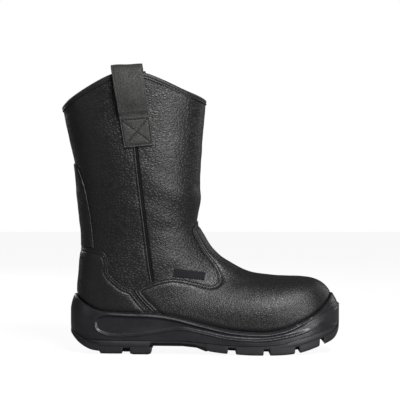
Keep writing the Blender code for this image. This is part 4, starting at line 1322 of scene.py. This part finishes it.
def lug_spans():
    """x ranges of the side lugs, between the grooves."""
    spans = []
    for low, high in LUG_ENDS:
        edges = [low]
        for x, width in GROOVES:
            if low < x < high:
                edges += [x - width / 2, x + width / 2]
        edges.append(high)
        spans += zip(edges[::2], edges[1::2])
    return spans


def clip_plan(points, axis, limit, keep_above):
    """A closed plan outline cut by a straight line across x or y."""
    kept = []
    sign = 1 if keep_above else -1
    for a, b in zip(points, [*points[1:], points[0]]):
        va, vb = sign * (a[axis] - limit), sign * (b[axis] - limit)
        if va >= 0:
            kept.append(tuple(a))
        if va * vb < 0:
            t = va / (va - vb)
            kept.append((a[0] + t * (b[0] - a[0]), a[1] + t * (b[1] - a[1])))
    return kept


def inset_plan(points, distance):
    """A closed plan outline with rounded corners, moved inwards."""
    run = heading(np.asarray(points, float))
    return points + np.column_stack([-run[:, 1], run[:, 0]]) * distance


def lug(name, plan, body_top, tread):
    """One block of tread: drafted sides, a rounded foot and a face that follows the tread's curve."""
    plan = relax(evenly(plan, 0.9, closed=True), 3)
    area = (plan[:, 0] * np.roll(plan[:, 1], -1) - np.roll(plan[:, 0], -1) * plan[:, 1]).sum()
    plan = plan if area > 0 else plan[::-1]
    rings = []
    for share, inset in LUG_SIDE:
        moved = inset_plan(plan, inset)
        foot = np.maximum(height(tread, moved[:, 0]) + edge_lift(moved[:, 0]), LUG_CLEAR)
        top = body_top(moved[:, 0])
        rings.append(np.column_stack([moved, top * (1 - share) + foot * share]))
    centre = plan.mean(axis=0)
    for shrink in (0.75, 0.45, 0.15):
        moved = centre + (inset_plan(plan, LUG_SIDE[-1][1]) - centre) * shrink
        rings.append(np.column_stack([moved, np.maximum(height(tread, moved[:, 0]), LUG_CLEAR)]))
    loft(name, np.stack(rings), "tread_rubber", sharp=50)


def edge_lift(x):
    """The tread is slightly crowned, so its edges stand a little off the ground."""
    return np.where(x < -20, 1.5, 0.6)


def add_lugs(outline):
    """Side lugs cut from the outline between the grooves, and a middle row of chevrons."""
    tread = smooth(TREAD, 4)
    join = smooth(SOLE_JOIN, 4)

    def top(x):
        return np.minimum(height(tread, x) + GROOVE_DEPTH + 2.5, height(join, x) - 0.6)

    plan = [tuple(p) for p in evenly(outline, 1.2, closed=True)]
    blocks = []
    for low, high in lug_spans():
        part = clip_plan(clip_plan(plan, 0, low, True), 0, high, False)
        if low == LUG_ENDS[0][0] or high == LUG_ENDS[1][1]:
            blocks.append(part)
        else:
            edge = CENTRE_ROW + LUG_GAP / 2
            blocks += [clip_plan(part, 1, side * edge, side > 0) for side in (-1, 1)]
    half = CENTRE_ROW - LUG_GAP / 2
    for x0, x1 in CENTRE_BLOCKS:
        tip0, tip1 = x0 + CHEVRON, x1 + CHEVRON
        blocks.append([(x0, -half), (x1, -half), (tip1, 0), (x1, half), (x0, half), (tip0, 0)])
    for number, block in enumerate(blocks):
        lug(f"tread_lug_{number:02d}", block, top, tread)


# ---------------------------------------------------------------- inside


FOOTBED_ROWS, FOOTBED_COLUMNS = 150, 41
FOOTBED_RIM, FOOTBED_BOTTOM = 12.2, 8.0  # over the cavity's floor


def add_footbed():
    """The removable foam footbed, cupped at the heel, just inside the CAD node's own outline."""
    low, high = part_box("footbed")
    x0, x1 = low.x / MM + 0.3, high.x / MM - 0.3
    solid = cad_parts["footbed"].data
    tree = BVHTree.FromPolygons(
        [tuple(v.co / MM) for v in solid.vertices], [tuple(p.vertices) for p in solid.polygons]
    )
    v = np.sin(np.linspace(-1, 1, FOOTBED_COLUMNS) * math.pi / 2)
    turn = np.linspace(0.03, math.pi - 0.03, FOOTBED_ROWS)
    top, bottom = [], []
    for x in x0 + (x1 - x0) * (1 - np.cos(turn)) / 2:
        floor = height(FLOOR, x)
        right, left = (
            tree.ray_cast(Vector((x, -120 * way, floor + 10.0)), Vector((0, way, 0)), 240)[0]
            for way in (1, -1)
        )
        if right is None or left is None:
            continue
        y0, y1 = right.y + 0.2, left.y - 0.2
        y = (y0 + y1) / 2 + (y1 - y0) / 2 * v
        cup = 1 - 0.5 * ease(-90, 0, x)
        rise = FOOTBED_RIM - 1.4 * (1 - np.abs(v) ** 4) * cup - 0.8 * ease(0.75, 1.0, np.abs(v))
        across = np.full(FOOTBED_COLUMNS, x)
        top.append(np.column_stack([across, y, floor + rise]))
        bottom.append(np.column_stack([across, y, np.full(FOOTBED_COLUMNS, floor + FOOTBED_BOTTOM)]))
    rings = np.concatenate([np.array(top), np.array(bottom)[:, ::-1]], axis=1)
    piece = loft("footbed_pad", rings, "foam", body="footbed", sharp=60)
    stands_for(piece, "footbed")


def finish_cad_nodes():
    """Materials for the CAD nodes that stay as they are, which are all inside the boot."""
    looks = {
        "steel_toe_cap": "steel", "steel_midsole_plate": "steel", "steel_shank": "steel",
        "toe_cap_edge_cushion": "foam", "bottom_filler": "foam", "vamp_interlining": "foam",
        "heel_stiffener": "board", "insole_board": "board",
    }
    for name, look in looks.items():
        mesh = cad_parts[name].data
        mesh.materials.clear()
        mesh.materials.append(MATERIALS[look])


# ---------------------------------------------------------------- stage, light, camera

CAMERA = (-0.0011, -1.6, 0.1724)
FOCAL = 126.0


def floor_finish():
    """A floor that the camera sees almost white and that lights the boot only faintly."""
    made = bpy.data.materials.new("floor_white")
    made.use_nodes = True
    tree = made.node_tree
    shader = tree.nodes["Principled BSDF"]
    shader.inputs["Base Color"].default_value = (0.12, 0.12, 0.12, 1)
    shader.inputs["Roughness"].default_value = 0.9
    shader.inputs["Specular IOR Level"].default_value = 0.0
    shader.inputs["Emission Color"].default_value = (1, 1, 1, 1)
    path = tree.nodes.new("ShaderNodeLightPath")
    glow = tree.nodes.new("ShaderNodeMapRange")
    tree.links.new(path.outputs["Is Camera Ray"], glow.inputs["Value"])
    glow.inputs["To Min"].default_value = 0.10
    glow.inputs["To Max"].default_value = 0.93
    tree.links.new(glow.outputs[0], shader.inputs["Emission Strength"])
    return made


def add_stage():
    half = 6.0
    mesh = bpy.data.meshes.new("floor")
    corners = [(-half, -half, 0), (half, -half, 0), (half, half, 0), (-half, half, 0)]
    mesh.from_pydata(corners, [], [(0, 1, 2, 3)])
    mesh.materials.append(floor_finish())
    new_object("floor", mesh)


def add_light(name, place, target, size, power):
    """A rectangular softbox that faces target."""
    data = bpy.data.lights.new(name, "AREA")
    data.shape = "RECTANGLE"
    data.size, data.size_y = size
    data.energy = power
    lamp = new_object(name, data)
    lamp.location = place
    lamp.rotation_euler = (Vector(target) - Vector(place)).to_track_quat("-Z", "Y").to_euler()


def add_lights():
    middle = (0, 0, 0.15)
    add_light("key_softbox", (1.18, -1.42, 0.25), middle, (0.8, 0.7), 18)
    add_light("top_softbox", (0.4, -1.12, 1.3), (0.08, 0, 0.05), (0.6, 0.5), 29)
    add_light("rear_softbox", (-0.9, 1.3, 0.9), middle, (0.8, 1.0), 9)
    add_light("front_softbox", (1.3, 1.1, 0.7), middle, (0.8, 1.0), 3)
    add_light("left_fill", (-1.7, -0.9, 0.6), middle, (0.5, 1.0), 1.5)
    world = bpy.data.worlds.new("studio")
    bpy.context.scene.world = world
    world.use_nodes = True
    tree = world.node_tree
    background = tree.nodes["Background"]
    background.inputs["Color"].default_value = (0.05, 0.05, 0.051, 1)
    seen = tree.nodes.new("ShaderNodeBackground")
    seen.inputs["Color"].default_value = (1, 1, 1, 1)
    mix = tree.nodes.new("ShaderNodeMixShader")
    path = tree.nodes.new("ShaderNodeLightPath")
    tree.links.new(path.outputs["Is Camera Ray"], mix.inputs[0])
    tree.links.new(background.outputs[0], mix.inputs[1])
    tree.links.new(seen.outputs[0], mix.inputs[2])
    tree.links.new(mix.outputs[0], tree.nodes["World Output"].inputs["Surface"])


def add_camera():
    data = bpy.data.cameras.new("camera")
    data.lens = FOCAL
    data.sensor_width = 36.0
    camera = new_object("camera", data)
    camera.location = CAMERA
    camera.rotation_euler = (math.pi / 2, 0, 0)
    bpy.context.scene.camera = camera
    bpy.context.scene.view_settings.view_transform = "Standard"


def main():
    add_camera()
    add_stage()
    add_lights()
    last = make_last()
    add_fields(last)
    add_lower_leather(last)
    add_shaft_panels(last)
    add_linings(last)
    add_stitching(last)
    add_piping(last)
    add_binding(last)
    add_pull_loops(last)
    add_label(last)
    add_midsole(last)
    add_outsole()
    add_footbed()
    finish_cad_nodes()


main()
